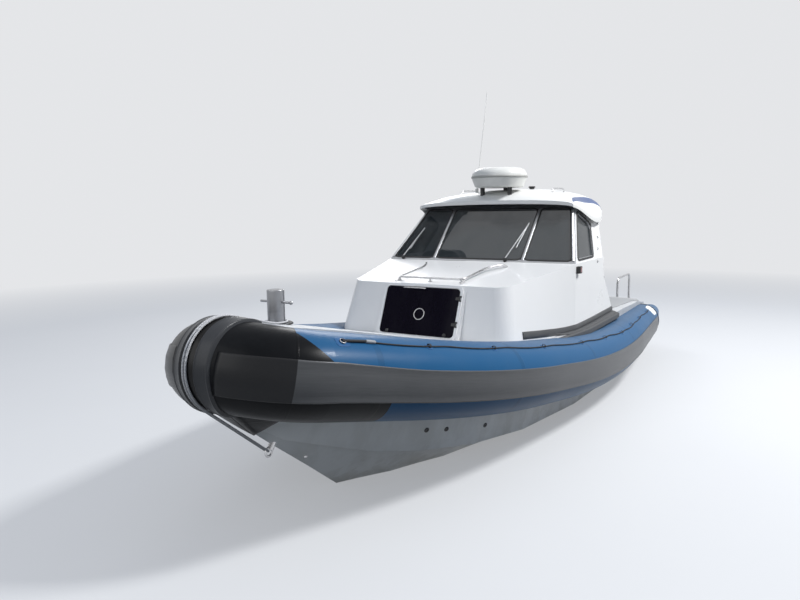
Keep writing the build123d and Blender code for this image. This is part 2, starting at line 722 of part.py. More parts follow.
hoop_points = [
    point(HOOP_FRONT, HOOP_OUT, deck_up(HOOP_FRONT, HOOP_OUT) + 1.0),
    point(HOOP_FRONT, HOOP_OUT, HOOP_TOP),
    point(HOOP_END, HOOP_OUT, HOOP_TOP),
    point(HOOP_END, HOOP_OUT, deck_up(HOOP_END, HOOP_OUT) + 1.0),
]
hoop_route = FilletPolyline(*hoop_points, radius=75.0)
hoop = sweep(Plane(origin=hoop_route @ 0, z_dir=hoop_route % 0) * Circle(HOOP_RADIUS), path=hoop_route)
for place in (HOOP_FRONT, HOOP_END):
    low = point(place, HOOP_OUT, deck_up(place, HOOP_OUT) - 20.0)
    hoop += Solid.make_cylinder(HOOP_FOOT, 28.0, Plane(origin=low))
hoop = hoop - deck_raised

# Handrail across the front of the coachroof
RAIL_LIFT = 34.0
RAIL_HALF = 385.0
RAIL_SETBACK = 73.0
RAIL_SWEEP = 765.0
RAIL_FRONT = CABIN_RINGS[1][1] + RAIL_SETBACK
RAIL_END_OUT = 465.0


def coach_point(aft, out, lift):
    return point(aft, out, coach_up(aft) + lift)


rail_side = [
    coach_point(RAIL_FRONT + RAIL_SWEEP, RAIL_END_OUT, 2.0),
    coach_point(RAIL_FRONT + RAIL_SWEEP - 55.0, RAIL_END_OUT - 35.0, RAIL_LIFT),
    coach_point(RAIL_FRONT + RAIL_SWEEP - 240.0, RAIL_HALF - 40.0, RAIL_LIFT),
    coach_point(RAIL_FRONT, RAIL_HALF - 40.0, RAIL_LIFT),
]
rail_points = rail_side + [Vector(-p.X, p.Y, p.Z) for p in reversed(rail_side)]
rail = pipe(rail_points, [0.4, 0.4, 0.12, 0.12, 0.4, 0.4], RAIL_RADIUS)
for out in (-RAIL_HALF + 60, 0.0, RAIL_HALF - 60):
    rail += rod(coach_point(RAIL_FRONT, out, GAP), coach_point(RAIL_FRONT, out, RAIL_LIFT), 8.0)
    rail += rod(coach_point(RAIL_FRONT, out, GAP), coach_point(RAIL_FRONT, out, 5.0), 20.0)
under_coach = [
    (2300, coach_up(2300) + GAP),
    (5000, coach_up(5000) + GAP),
    (5000, coach_up(5000) - 400),
    (2300, coach_up(2300) - 400),
]
rail = rail - side_prism(under_coach, -1500, 1500)

# Radome on three short feet
dome_centre = point(RADOME_AFT, 0, RADOME_BASE_UP)
cap_radius = (DOME_CAP_HALF**2 + DOME_CAP_RISE**2) / (2 * DOME_CAP_RISE)
cap_angle = math.degrees(math.asin(DOME_CAP_HALF / cap_radius))
dome_profile = Polyline(
    (0, 0),
    (RADOME_RADIUS - 62, 0),
    (RADOME_RADIUS - 40, 14),
    (RADOME_RADIUS - 6, 104),
    (RADOME_RADIUS, 112),
    (RADOME_RADIUS, 124),
    (RADOME_RADIUS - 6, 132),
)
dome_top = ThreePointArc(
    (RADOME_RADIUS - 6, 132), (RADOME_RADIUS - 42, 198), (DOME_CAP_HALF, RADOME_HEIGHT - DOME_CAP_RISE)
)
dome_cap = CenterArc((0, RADOME_HEIGHT - cap_radius), cap_radius, 90 - cap_angle, cap_angle)
dome_axis = Line((0, RADOME_HEIGHT), (0, 0))
dome_face = make_face([dome_profile, dome_top, dome_cap, dome_axis])
dome_stand = Plane(origin=dome_centre, x_dir=(1, 0, 0), z_dir=(0, -1, 0))
radome = revolve(dome_stand * dome_face, axis=Axis(dome_centre, (0, 0, 1)))
FOOT_RING = 190.0
foot_solids = []
for angle in (90.0, 210.0, 330.0):
    spot = dome_centre + Vector(FOOT_RING, 0, 0).rotate(Axis.Z, angle)
    foot = Solid.make_cylinder(26.0, 160.0, Plane(origin=spot - Vector(0, 0, 160.0 + GAP)))
    foot = foot & under_roof_cut
    foot_solids += (foot - roof).solids().sort_by(Axis.Z)[-1:]
radome_feet = Compound(foot_solids)

# Whip aerial with its base
aerial_foot = point(AERIAL_AFT, AERIAL_OUT, AERIAL_UP)
lean = Vector(0, 0, 1).rotate(Axis.X, -AERIAL_LEAN)
aerial_base = Solid.make_cylinder(19.0, 90.0, Plane(origin=aerial_foot - lean * 58.0, z_dir=lean)) - roof
aerial_base = aerial_base.solids().sort_by(Axis.Z)[-1]
whip = Solid.make_cone(6.0, 2.5, AERIAL_LENGTH, Plane(origin=aerial_foot + lean * 30.0, z_dir=lean))
aerial = aerial_base + whip

# Small vent on the roof, aft
VENT_AFT = 5240.0
VENT_OUT = 150.0
VENT_RADIUS = 40.0
VENT_HEIGHT = 34.0
vent_foot = Plane(origin=point(VENT_AFT, VENT_OUT, SCREEN_TOP_UP))
vent_stem = Solid.make_cylinder(VENT_RADIUS - 10.0, 300.0, vent_foot)
vent_stem = (vent_stem - (Pos(0, 0, GAP) * roof)).solids().sort_by(Axis.Z)[-1]
vent_base = vent_stem.bounding_box().min.Z
vent_top = block(
    (VENT_AFT - 60, VENT_AFT + 60), (VENT_OUT - 60, VENT_OUT + 60), (vent_base, vent_base + VENT_HEIGHT)
)
vent_cap = Solid.make_cylinder(
    VENT_RADIUS, VENT_HEIGHT / 2, Plane(origin=point(VENT_AFT, VENT_OUT, vent_base + VENT_HEIGHT / 2))
)
roof_vent = (vent_stem & vent_top) + fillet(vent_cap.edges().sort_by(Axis.Z)[-1], 6.0)

# Roof handrails
ROOF_RAIL_OUT = 560.0
ROOF_RAIL_FRONT = 4760.0
ROOF_RAIL_END = 5200.0
roof_rail_points = [
    point(ROOF_RAIL_FRONT, ROOF_RAIL_OUT, SCREEN_TOP_UP + 80.0),
    point(ROOF_RAIL_FRONT + 20.0, ROOF_RAIL_OUT, SCREEN_TOP_UP + 198.0),
    point(ROOF_RAIL_END - 20.0, ROOF_RAIL_OUT, SCREEN_TOP_UP + 204.0),
    point(ROOF_RAIL_END, ROOF_RAIL_OUT, SCREEN_TOP_UP + 80.0),
]
roof_rail = pipe(roof_rail_points, [0.45, 0.45], 9.0) - roof
roof_rail = roof_rail.solids().sort_by(Axis.Z)[-1]

# Side lamps on the cabin sides
LAMP_AFT = 4010.0
LAMP_UP = SILL_UP - 60.0
lamp_core = block((LAMP_AFT - 40, LAMP_AFT + 40), (1040, 1122), (LAMP_UP - 34, LAMP_UP + 34))
lamp = fillet(lamp_core.edges().filter_by(Axis.Z), 16.0)
lamp = lamp - (Pos(GAP, 0, 0) * cabin_core(0.0, CABIN_END + 200.0))

# Wipers: pivot, arm and blade lying just off the glass
# columns: pivot out, pivot run, tip out, tip run, blade low out, blade low run
WIPERS = [
    (-905.0, 14.0, -800.0, 430.0, -868.0, 150.0),
    (330.0, 14.0, 452.0, 500.0, 405.0, 190.0),
]
WIPER_LIFT = 22.0
wiper_solids = []
for out, run, tip_out, tip_run, low_out, low_run in WIPERS:
    pivot = Pos(out, run, GAP) * Cylinder(17.0, 34.0, align=(Align.CENTER, Align.CENTER, Align.MIN))
    arm_low = Vector(out, run, 28.0)
    arm_high = Vector(tip_out, tip_run, WIPER_LIFT)
    blade_low = Vector(low_out, low_run, 11.0)
    wiper = pivot + rod(arm_low, arm_high, 7.0)
    wiper += rod(blade_low, arm_high + (arm_high - blade_low) * 0.12, 6.0)
    wiper_solids += (screen_plane * wiper).solids()
wipers = Compound(wiper_solids)

# Samson post with its cross pin and deck flange
post_deck = deck_up(POST_AFT, 0)
post_base = point(POST_AFT, 0, post_deck - 30.0)
post = Solid.make_cylinder(POST_RADIUS, POST_TOP_UP - post_base.Z, Plane(origin=post_base))
post = fillet(post.edges().sort_by(Axis.Z)[-1], 6.0)
POST_FLANGE_TOP = 8.0
post += Solid.make_cylinder(POST_RADIUS + 34.0, POST_FLANGE_TOP + 30.0, Plane(origin=post_base))
pin_start = point(POST_AFT, -POST_PIN_LENGTH / 2, POST_PIN_UP)
post += rod(pin_start, point(POST_AFT, POST_PIN_LENGTH / 2, POST_PIN_UP), POST_PIN_RADIUS)
post += Pos(*tuple(point(POST_AFT, POST_PIN_LENGTH / 2, POST_PIN_UP))) * Sphere(13.0)
samson_post = post - deck_raised

# Bow eye: a U bolt through the stem, with the shackle that hangs in it
stem_dir = (point(1390, 0, 0) - point(700, 0, 525)).normalized()
stem_out = Vector(0, stem_dir.Z, -stem_dir.Y)
eye_middle = point(EYE_AFT, 0, EYE_UP)
EYE_WIRE = 8.0
EYE_RADIUS = 30.0
eye_plane = Plane(origin=eye_middle + stem_out * 20.0, x_dir=stem_dir, z_dir=Vector(1, 0, 0))
eye_ring = eye_plane * Torus(EYE_RADIUS, EYE_WIRE)
eye_pad = Plane(origin=eye_middle - stem_out * 25.0, z_dir=stem_out) * Cylinder(24.0, 60.0)
bow_eye = (eye_ring + eye_pad) - hull
bow_eye = bow_eye.solids().sort_by(SortBy.VOLUME)[-1]


# Grab lines: each runs through loops along the top of its tube and sags between them
GRAB_LINE_RADIUS = 5.0
GRAB_LINE_LIFT = 1.4
GRAB_LINE_SAG = 3.0
GRAB_LINE_SHARES = (0.0, 0.22, 0.41, 0.59, 0.78)
# columns: run from the nose to each loop, angle above the tube's outboard side
GRIPS = [
    (800.0, 60.0),
    (1520.0, 62.0),
    (2220.0, 63.0),
    (2980.0, 62.0),
    (3800.0, 62.0),
    (4480.0, 60.0),
    (5060.0, 54.0),
    (5600.0, 54.0),
    (6180.0, 57.0),
    (6780.0, 56.0),
]
# columns: aft, tube radius
TUBE_GIRTH = [
    (0.0, TUBE_RADIUS),
    (TAPER_START, TUBE_RADIUS),
    (CONE_START, TUBE_END_RADIUS),
    (TUBE_END, TUBE_TIP_RADIUS),
]


def on_tube(run, angle, lift):
    """A point over the port tube at a run from the nose and an angle above its outboard side."""
    along = run + 150.0
    if along < spine.length:
        middle = spine.position_at(along, position_mode=PositionMode.LENGTH)
        ahead = spine.tangent_at(along, position_mode=PositionMode.LENGTH)
    else:
        middle = on_last_run(TAPER_START) + last_run * (along - spine.length)
        ahead = last_run
    outboard = ahead.cross(Vector(0, 0, 1)).normalized()
    upward = outboard.cross(ahead)
    turn = math.radians(angle)
    reach = between(TUBE_GIRTH, middle.Y + MIDSHIP, 1) + lift
    return middle + (outboard * math.cos(turn) + upward * math.sin(turn)) * reach


def cord(points, radius, close=False):
    """A cord along runs joined by arcs, each 0.45 of its shorter run long."""
    count = len(points)
    if close:
        beside = [(points[i - 1], points[i], points[(i + 1) % count]) for i in range(count)]
    else:
        beside = list(zip(points, points[1:], points[2:]))
    radii = []
    for before, corner, after in beside:
        back = before - corner
        ahead = after - corner
        turn = math.radians(180.0 - back.get_angle(ahead))
        radii.append(0.45 * min(back.length, ahead.length) / math.tan(turn / 2))
    route = FilletPolyline(*points, radius=radii, close=close)
    start = Plane(origin=route @ 0, z_dir=route % 0)
    print("cord of length", round(route.length), "radii", [round(r) for r in radii])
    return sweep(start * Circle(radius), path=route)


grab_points = []
for (run, angle), (next_run, next_angle) in zip(GRIPS, GRIPS[1:]):
    for share in GRAB_LINE_SHARES:
        place = run + (next_run - run) * share
        hung = angle + (next_angle - angle) * share - GRAB_LINE_SAG * 4.0 * share * (1.0 - share)
        grab_points.append(on_tube(place, hung, GRAB_LINE_RADIUS + GRAB_LINE_LIFT))
grab_points.append(on_tube(*GRIPS[-1], GRAB_LINE_RADIUS + GRAB_LINE_LIFT))
grab_line = cord(grab_points, GRAB_LINE_RADIUS)

# Painter: a spliced loop round the post's foot, down the guard's groove and through the eye
PAINTER_RADIUS = 7.0
PAINTER_GAP = 0.8
PAINTER_OUT = GUARD_GROOVE - PAINTER_RADIUS - 2.0
NOSE_BENDS = 8
nose_outboard = first_run.cross(Vector(0, 0, 1)).normalized()
nose_upward = nose_outboard.cross(first_run)
painter_reach = TUBE_RADIUS + GUARD_BASE + PAINTER_RADIUS + PAINTER_GAP


def on_nose(angle, reach):
    """A point round the nose in the port half of the guard's groove."""
    turn = math.radians(angle)
    spot = knots[0] + (nose_outboard * math.cos(turn) + nose_upward * math.sin(turn)) * reach
    return spot + first_run * ((PAINTER_OUT - spot.X) / first_run.X)


# Painter's route: angles at which it meets and leaves the nose, and its bight at the eye
PAINTER_LOW = -52.0
PAINTER_HIGH = 104.0
nose_bend = (PAINTER_HIGH - PAINTER_LOW) / NOSE_BENDS
nose_corner = painter_reach / math.cos(math.radians(nose_bend / 2))
nose_points = [on_nose(PAINTER_LOW + (step + 0.5) * nose_bend, nose_corner) for step in range(NOSE_BENDS)]
eye_centre = eye_plane.origin
to_nose = (on_nose(PAINTER_LOW, painter_reach) - Vector(PAINTER_OUT, 0, 0) - eye_centre).normalized()
painter_pinch = EYE_WIRE + PAINTER_RADIUS + PAINTER_GAP
bight = eye_centre + to_nose * (EYE_RADIUS - painter_pinch) + Vector(painter_pinch, 0, 0)
foot_out = POST_RADIUS + PAINTER_RADIUS + 3.0
foot_up = post_deck + POST_FLANGE_TOP + PAINTER_RADIUS + PAINTER_GAP
foot_front = point(POST_AFT - foot_out, foot_out, foot_up)
nose_top = on_nose(PAINTER_HIGH, painter_reach)
groove_end = GUARD_AFT + 30.0
down_share = (groove_end - MIDSHIP - nose_top.Y) / (foot_front.Y - nose_top.Y)
groove_exit = point(groove_end, PAINTER_OUT, nose_top.Z + (foot_front.Z - nose_top.Z) * down_share)
port_leg = [bight] + nose_points + [groove_exit, foot_front, point(POST_AFT + foot_out, foot_out, foot_up)]
painter = cord(port_leg + [Vector(-p.X, p.Y, p.Z) for p in reversed(port_leg)], PAINTER_RADIUS, close=True)


# Outboard clamp bracket: two cheeks over the transom, the tilt tube between them
CHEEK_OUT = 118.0
CHEEK_WALL = 22.0
TILT_TUBE_RADIUS = 17.0
PAD_WALL = 14.0
transom_back = TRANSOM_FACE + GAP
cheek_outline = [
    (TILT_AFT - 34, TILT_UP + 26),
    (TILT_AFT + 30, TILT_UP + 28),
    (transom_back + 74, TILT_UP - 90),
    (transom_back + 84, 40),
    (transom_back, 10),
    (transom_back, TRANSOM_NOTCH_UP + GAP),
    (TRANSOM_FACE - TRANSOM_THICKNESS - GAP, TRANSOM_NOTCH_UP + GAP),
    (TRANSOM_FACE - TRANSOM_THICKNESS - GAP, TRANSOM_NOTCH_UP - 130),
    (TRANSOM_FACE - TRANSOM_THICKNESS - 34, TRANSOM_NOTCH_UP - 130),
    (TRANSOM_FACE - TRANSOM_THICKNESS - 34, TRANSOM_NOTCH_UP + 20),
]
cheek = side_prism(cheek_outline, CHEEK_OUT, CHEEK_OUT + CHEEK_WALL)
tube_end = CHEEK_OUT + CHEEK_WALL + 12
tilt_tube = rod(point(TILT_AFT, -tube_end, TILT_UP), point(TILT_AFT, tube_end, TILT_UP), TILT_TUBE_RADIUS)
cross_pad = block((transom_back, transom_back + PAD_WALL), (-CHEEK_OUT, CHEEK_OUT), (20, 90))
engine_clamp = cheek + mirror_x(cheek) + tilt_tube + cross_pad

# Swivel bracket: arms on the tilt tube, carrying the steering sleeve
ARM_OUT = CHEEK_OUT - RUNNING_GAP
ARM_WALL = 24.0
arm_outline = [
    (TILT_AFT - 30, TILT_UP - 16),
    (TILT_AFT - 20, TILT_UP + 28),
    (TILT_AFT + 22, TILT_UP + 26),
    (STEER_AFT - 70, SLEEVE_TOP - 8),
    (STEER_AFT + 20, SLEEVE_TOP - 8),
    (STEER_AFT + 20, SLEEVE_BOTTOM + 150),
    (STEER_AFT - 50, SLEEVE_BOTTOM + 150),
    (transom_back + 44, TILT_UP - 60),
    (transom_back + 14, TILT_UP - 26),
]
arm = side_prism(arm_outline, ARM_OUT - ARM_WALL, ARM_OUT)
sleeve_base = point(STEER_AFT, 0, SLEEVE_BOTTOM)
sleeve = Solid.make_cylinder(SLEEVE_RADIUS, SLEEVE_TOP - SLEEVE_BOTTOM, Plane(origin=sleeve_base))
bridge = block((STEER_AFT - 48, STEER_AFT + 18), (-ARM_OUT, ARM_OUT), (SLEEVE_BOTTOM + 154, SLEEVE_TOP - 4))
tilt_bore = rod(point(TILT_AFT, -300, TILT_UP), point(TILT_AFT, 300, TILT_UP), TILT_TUBE_RADIUS + GAP)
steer_bore = Solid.make_cylinder(STEER_SHAFT_RADIUS + GAP, 2000, Plane(origin=point(STEER_AFT, 0, -1000)))
engine_swivel = arm + mirror_x(arm) + sleeve + bridge - tilt_bore - steer_bore

# Engine leg: steering shaft, yokes, midsection, plate, gearcase and skeg
def leg_ring(up, front, end, half):
    middle = (front + end) / 2
    length = end - front
    shape = Pos(0, middle - MIDSHIP) * Ellipse(half, length / 2)
    return (Plane.XY.offset(up) * shape).face().outer_wire()


# columns: up, front, end, half width
LEG_RINGS = [
    (COWL_BOTTOM - 38.0, 7730.0, 8210.0, 150.0),
    (250.0, 7735.0, 8130.0, 96.0),
    (-60.0, PROP_AFT - 365.0, PROP_AFT - 30.0, 66.0),
    (PLATE_UP, PROP_AFT - 350.0, PROP_AFT - 50.0, 46.0),
    (PROP_AXIS_UP, PROP_AFT - 310.0, PROP_AFT - 90.0, 36.0),
]
leg = Solid.make_loft([leg_ring(*row) for row in LEG_RINGS], ruled=True)
shaft_low = SLEEVE_BOTTOM - 62.0
shaft_high = COWL_BOTTOM - 4.0
shaft_foot = Plane(origin=point(STEER_AFT, 0, shaft_low))
shaft = Solid.make_cylinder(STEER_SHAFT_RADIUS, shaft_high - shaft_low, shaft_foot)
upper_yoke = block(
    (STEER_AFT - 44, STEER_AFT + 350), (-110, 110), (SLEEVE_TOP + RUNNING_GAP, SLEEVE_TOP + 36)
)
lower_yoke = block(
    (STEER_AFT - 44, STEER_AFT + 220), (-58, 58), (SLEEVE_BOTTOM - 56, SLEEVE_BOTTOM - RUNNING_GAP)
)
PAN_FRONT = 7590.0
PAN_END = 8290.0
PAN_HALF = 200.0
pan_plan = RectangleRounded(2 * PAN_HALF, PAN_END - PAN_FRONT, 120)
pan_plan = Pos(0, (PAN_FRONT + PAN_END) / 2 - MIDSHIP) * pan_plan
pan_low = SLEEVE_TOP + 36
base_pan = Plane.XY.offset(pan_low) * extrude(pan_plan, COWL_BOTTOM - GAP - pan_low)
plate = Plane.XY.offset(PLATE_UP - 7) * Pos(0, PROP_AFT - 125 - MIDSHIP) * extrude(Ellipse(115, 300), 14)
HUB_LENGTH = 124.0
gearcase_front = point(PROP_AFT - 280, 0, PROP_AXIS_UP)
gearcase_end = point(PROP_AFT - HUB_LENGTH / 2 - RUNNING_GAP, 0, PROP_AXIS_UP)
gearcase = rod(gearcase_front, gearcase_end, GEARCASE_RADIUS)
bullet = Plane(origin=gearcase_front) * Sphere(GEARCASE_RADIUS)
skeg_outline = [
    (PROP_AFT - 290, PROP_AXIS_UP),
    (PROP_AFT - 100, PROP_AXIS_UP),
    (PROP_AFT - 75, SKEG_UP),
    (PROP_AFT - 180, SKEG_UP),
]
skeg = side_prism(skeg_outline, -7.0, 7.0)
PROP_SHAFT_RADIUS = 14.0
prop_shaft = rod(
    point(PROP_AFT - 110, 0, PROP_AXIS_UP), point(PROP_AFT + 70, 0, PROP_AXIS_UP), PROP_SHAFT_RADIUS
)
engine_leg = leg + shaft + upper_yoke + lower_yoke + base_pan + plate + gearcase + bullet + skeg + prop_shaft

# Cowl: four rounded plan rings closed by a crowned top
# columns: up, front, end, half width, corner radius
COWL_RINGS = [
    (COWL_BOTTOM, COWL_FRONT + 30.0, COWL_END - 40.0, COWL_HALF - 34.0, 110.0),
    (COWL_BOTTOM + 170.0, COWL_FRONT, COWL_END - 8.0, COWL_HALF, 125.0),
    (COWL_TOP - 150.0, COWL_FRONT + 6.0, COWL_END, COWL_HALF - 6.0, 130.0),
    (COWL_TOP - 34.0, COWL_FRONT + 60.0, COWL_END - 50.0, COWL_HALF - 66.0, 120.0),
    (COWL_TOP, COWL_FRONT + 150.0, COWL_END - 150.0, COWL_HALF - 140.0, 95.0),
]


def cowl_ring(up, front, end, half, corner):
    plan = Pos(0, (front + end) / 2 - MIDSHIP) * RectangleRounded(2 * half, end - front, corner)
    return (Plane.XY.offset(up) * plan).face().outer_wire()


engine_cowl = Solid.make_loft([cowl_ring(*row) for row in COWL_RINGS], ruled=True)

# Propeller: a hub and three raked, pitched blades
BLADES = 3
hub_front = point(PROP_AFT - HUB_LENGTH / 2, 0, PROP_AXIS_UP)
hub = rod(hub_front, hub_front + Vector(0, HUB_LENGTH, 0), HUB_RADIUS)
# columns: distance from the shaft, chord, pitch angle, rake
BLADE_RINGS = [
    (HUB_RADIUS - 10.0, 92.0, 52.0, 0.0),
    (105.0, 128.0, 36.0, 8.0),
    (155.0, 120.0, 27.0, 16.0),
    (PROP_RADIUS, 60.0, 22.0, 24.0),
]
BLADE_WALL = 9.0


def blade_ring(reach, chord, pitch, back):
    centre = point(PROP_AFT + back, 0, PROP_AXIS_UP + reach)
    plane = Plane(origin=centre, x_dir=Vector(1, 0, 0).rotate(Axis.Z, 90.0 - pitch), z_dir=(0, 0, 1))
    return (plane * Ellipse(chord / 2, BLADE_WALL / 2)).face().outer_wire()


blade = Solid.make_loft([blade_ring(*row) for row in BLADE_RINGS], ruled=True)
prop_axis = Axis(point(PROP_AFT, 0, PROP_AXIS_UP), (0, 1, 0))
propeller = hub
for index in range(BLADES):
    propeller += blade.rotate(prop_axis, index * 360.0 / BLADES)
propeller -= rod(hub_front - Vector(0, 50, 0), hub_front + Vector(0, 400, 0), PROP_SHAFT_RADIUS + GAP)

# Dash across the cabin, helm console below it on the starboard side
dash_top = block((inner_end + 8, DASH_END), (-1200, 1200), (DASH_UP - DASH_WALL, DASH_UP))
dash_face = block((DASH_END - DASH_WALL, DASH_END), (-1200, 1200), (DASH_UP - DASH_FACE, DASH_UP))
inner_room = cabin_core(CABIN_WALL + GAP, CABIN_END + 400.0)
dash = (dash_top + dash_face) & inner_room
CONSOLE_HALF = 300.0
console_front = DASH_END - 210.0
console_end = DASH_END + 90.0
console_outline = [
    (console_front, SOLE_UP + GAP),
    (console_end, SOLE_UP + GAP),
    (console_end, DASH_UP - 338),
    (DASH_END + GAP, DASH_UP - 88),
    (DASH_END + GAP, DASH_UP - DASH_FACE - GAP),
    (console_front, DASH_UP - DASH_FACE - GAP),
]
console = side_prism(console_outline, HELM_OUT - CONSOLE_HALF, HELM_OUT + CONSOLE_HALF)

# Instrument hood: a rounded shell on the dash ahead of the wheel, open to the helm
HOOD_HALF = 240.0
HOOD_HEIGHT = 205.0
HOOD_DEPTH = 190.0
HOOD_WALL = 14.0
HOOD_BEND = 110.0
hood_out = HELM_OUT - 40.0
hood_plan = Pos(0, HOOD_HEIGHT / 2) * Rectangle(2 * HOOD_HALF, HOOD_HEIGHT)
hood_profile = fillet(hood_plan.vertices().group_by(Axis.Y)[-1], HOOD_BEND)
hood_void = offset(hood_profile, -HOOD_WALL) + Pos(0, HOOD_HEIGHT / 4) * Rectangle(
    2 * (HOOD_HALF - HOOD_WALL), HOOD_HEIGHT / 2
)
hood_front = point(DASH_END - 12.0, hood_out, DASH_UP + GAP)
hood_plane = Plane(origin=hood_front, x_dir=(1, 0, 0), z_dir=(0, -1, 0))
hood_shell = extrude(hood_profile, HOOD_DEPTH) - extrude(hood_void, HOOD_DEPTH - HOOD_WALL)
outside_glass = screen_plane * Pos(0, 600, -FRAME_DEPTH - 6.0) * extrude(Rectangle(3000, 2400), 900)
instrument_hood = hood_plane * hood_shell - outside_glass

# Steering wheel: rim, three spokes and hub on a raked stub shaft
wheel_centre = point(WHEEL_AFT, HELM_OUT, WHEEL_UP)
wheel_axis_dir = Vector(0, 1, 0).rotate(Axis.X, WHEEL_TILT)
wheel_plane = Plane(origin=wheel_centre, x_dir=(1, 0, 0), z_dir=wheel_axis_dir)
helm_wheel = Torus(WHEEL_RADIUS, WHEEL_GRIP) + Pos(0, 0, -8) * Cylinder(36, 40)
for angle in (90, 210, 330):
    spoke = Rot(0, 0, angle) * Pos(WHEEL_RADIUS / 2, 0, 0) * Box(WHEEL_RADIUS, 26, 8)
    helm_wheel += spoke
helm_wheel = wheel_plane * helm_wheel
STUB_RADIUS = 20.0
stub_start = wheel_centre - wheel_axis_dir * (28.0 + GAP)
helm_stub = rod(stub_start - wheel_axis_dir * 220.0, stub_start, STUB_RADIUS) - (Pos(0, GAP, 0) * console)
helm_stub = helm_stub.solids().sort_by(Axis.Y)[-1]

# Two bucket seats on pedestals
SEAT_BEHIND_WHEEL = 370.0
SEAT_AFT = WHEEL_AFT + SEAT_BEHIND_WHEEL
SEAT_UP = 880.0
seat_solids = []
cushion_solids = []
for out in (HELM_OUT, -HELM_OUT):
    seat_foot = Plane(origin=point(SEAT_AFT, out, SOLE_UP + GAP))
    pedestal = Solid.make_cylinder(60.0, SEAT_UP - SOLE_UP - GAP, seat_foot)
    pedestal += Solid.make_cylinder(150.0, 16.0, seat_foot)
    pedestal += block((SEAT_AFT - 200, SEAT_AFT + 210), (out - 215, out + 215), (SEAT_UP - 24, SEAT_UP))
    seat_solids += pedestal.solids()
    base = block((SEAT_AFT - 220, SEAT_AFT + 130), (out - 235, out + 235), (SEAT_UP + GAP, SEAT_UP + 110))
    back = block((SEAT_AFT + 130, SEAT_AFT + 230), (out - 235, out + 235), (SEAT_UP + GAP, SEAT_UP + 470))
    cushion = base + back
    cushion = fillet(cushion.edges().filter_by(Axis.X), 28.0)
    cushion_solids += cushion.solids()
seats = Compound(seat_solids)
seat_cushions = Compound(cushion_solids)

both_lamps = lamp.solids()[:1] + mirror_x(lamp).solids()[:1]
parts = {
    "hull": hull,
    "deck": deck,
    "tube_bow": tube_bow,
    "tube_port": behind_seam,
    "tube_starboard": mirror_x(behind_seam),
    "rub_band_port": band,
    "rub_band_starboard": mirror_x(band),
    "bow_guard": bow_guard,
    "side_strip_port": side_strip,
    "side_strip_starboard": mirror_x(side_strip),
    "coaming_port": coaming,
    "coaming_starboard": mirror_x(coaming),
    "stern_hoops": Compound(hoop.solids() + mirror_x(hoop).solids()),
    "cabin": cabin,
    "cabin_side_port": side_panel,
    "cabin_side_starboard": mirror_x(side_panel),
    "roof": roof,
    "windscreen_frame": screen_frame,
    "windscreen": windscreen,
    "side_window_frames": side_rings,
    "side_windows": side_windows,
    "hatch_frame": hatch_frame,
    "hatch_hinges": hatch_hinges,
    "hatch_lid": hatch_lid,
    "hatch_leaves": hatch_leaves,
    "coachroof_rail": rail,
    "wipers": wipers,
    "side_lamps": Compound(both_lamps),
    "radome": radome,
    "radome_feet": radome_feet,
    "roof_vent": roof_vent,
    "whip_aerial": aerial,
    "roof_rails": Compound(roof_rail.solids() + mirror_x(roof_rail).solids()),
    "samson_post": samson_post,
    "bow_eye": bow_eye,
    "painter": painter,
    "grab_line_port": grab_line,
    "grab_line_starboard": mirror_x(grab_line),
    "dash": dash,
    "instrument_hood": instrument_hood,
    "console": console,
    "helm_stub": helm_stub,
    "helm_wheel": helm_wheel,
    "seats": seats,
    "seat_cushions": seat_cushions,
    "engine_clamp": engine_clamp,
    "engine_swivel": engine_swivel,
    "engine_leg": engine_leg,
    "engine_cowl": engine_cowl,
    "propeller": propeller,
}
for name, shape in parts.items():
    write(shape, name)
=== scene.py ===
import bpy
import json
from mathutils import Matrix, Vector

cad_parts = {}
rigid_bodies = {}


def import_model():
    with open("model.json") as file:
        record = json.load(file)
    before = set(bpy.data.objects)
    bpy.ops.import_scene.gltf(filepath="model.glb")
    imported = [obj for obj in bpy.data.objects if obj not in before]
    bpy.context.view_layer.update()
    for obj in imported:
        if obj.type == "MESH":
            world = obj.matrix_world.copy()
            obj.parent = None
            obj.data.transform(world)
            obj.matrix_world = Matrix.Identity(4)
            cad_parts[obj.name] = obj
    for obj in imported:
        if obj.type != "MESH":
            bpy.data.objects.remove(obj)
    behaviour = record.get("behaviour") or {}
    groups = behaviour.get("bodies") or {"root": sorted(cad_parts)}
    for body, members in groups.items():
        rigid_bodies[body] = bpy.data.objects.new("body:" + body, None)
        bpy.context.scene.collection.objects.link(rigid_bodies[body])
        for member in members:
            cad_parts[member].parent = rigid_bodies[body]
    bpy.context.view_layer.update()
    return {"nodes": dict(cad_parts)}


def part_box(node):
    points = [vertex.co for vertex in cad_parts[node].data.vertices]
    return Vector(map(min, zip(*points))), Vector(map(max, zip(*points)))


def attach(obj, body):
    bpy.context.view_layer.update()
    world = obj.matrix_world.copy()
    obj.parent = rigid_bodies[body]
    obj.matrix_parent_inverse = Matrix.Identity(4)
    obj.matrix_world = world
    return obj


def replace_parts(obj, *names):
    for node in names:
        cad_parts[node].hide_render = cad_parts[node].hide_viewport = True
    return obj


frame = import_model()

import json
import logging
import math
from dataclasses import dataclass, field
from enum import Enum
from typing import Any, Iterable, Optional, Sequence, Union

import bmesh
import bpy
import numpy as np
from mathutils import Vector
from mathutils.bvhtree import BVHTree

log = logging.getLogger("cabin_rib")
Array = np.ndarray
Number = Union[int, float]
Colour = tuple[float, float, float]


# Shader maths


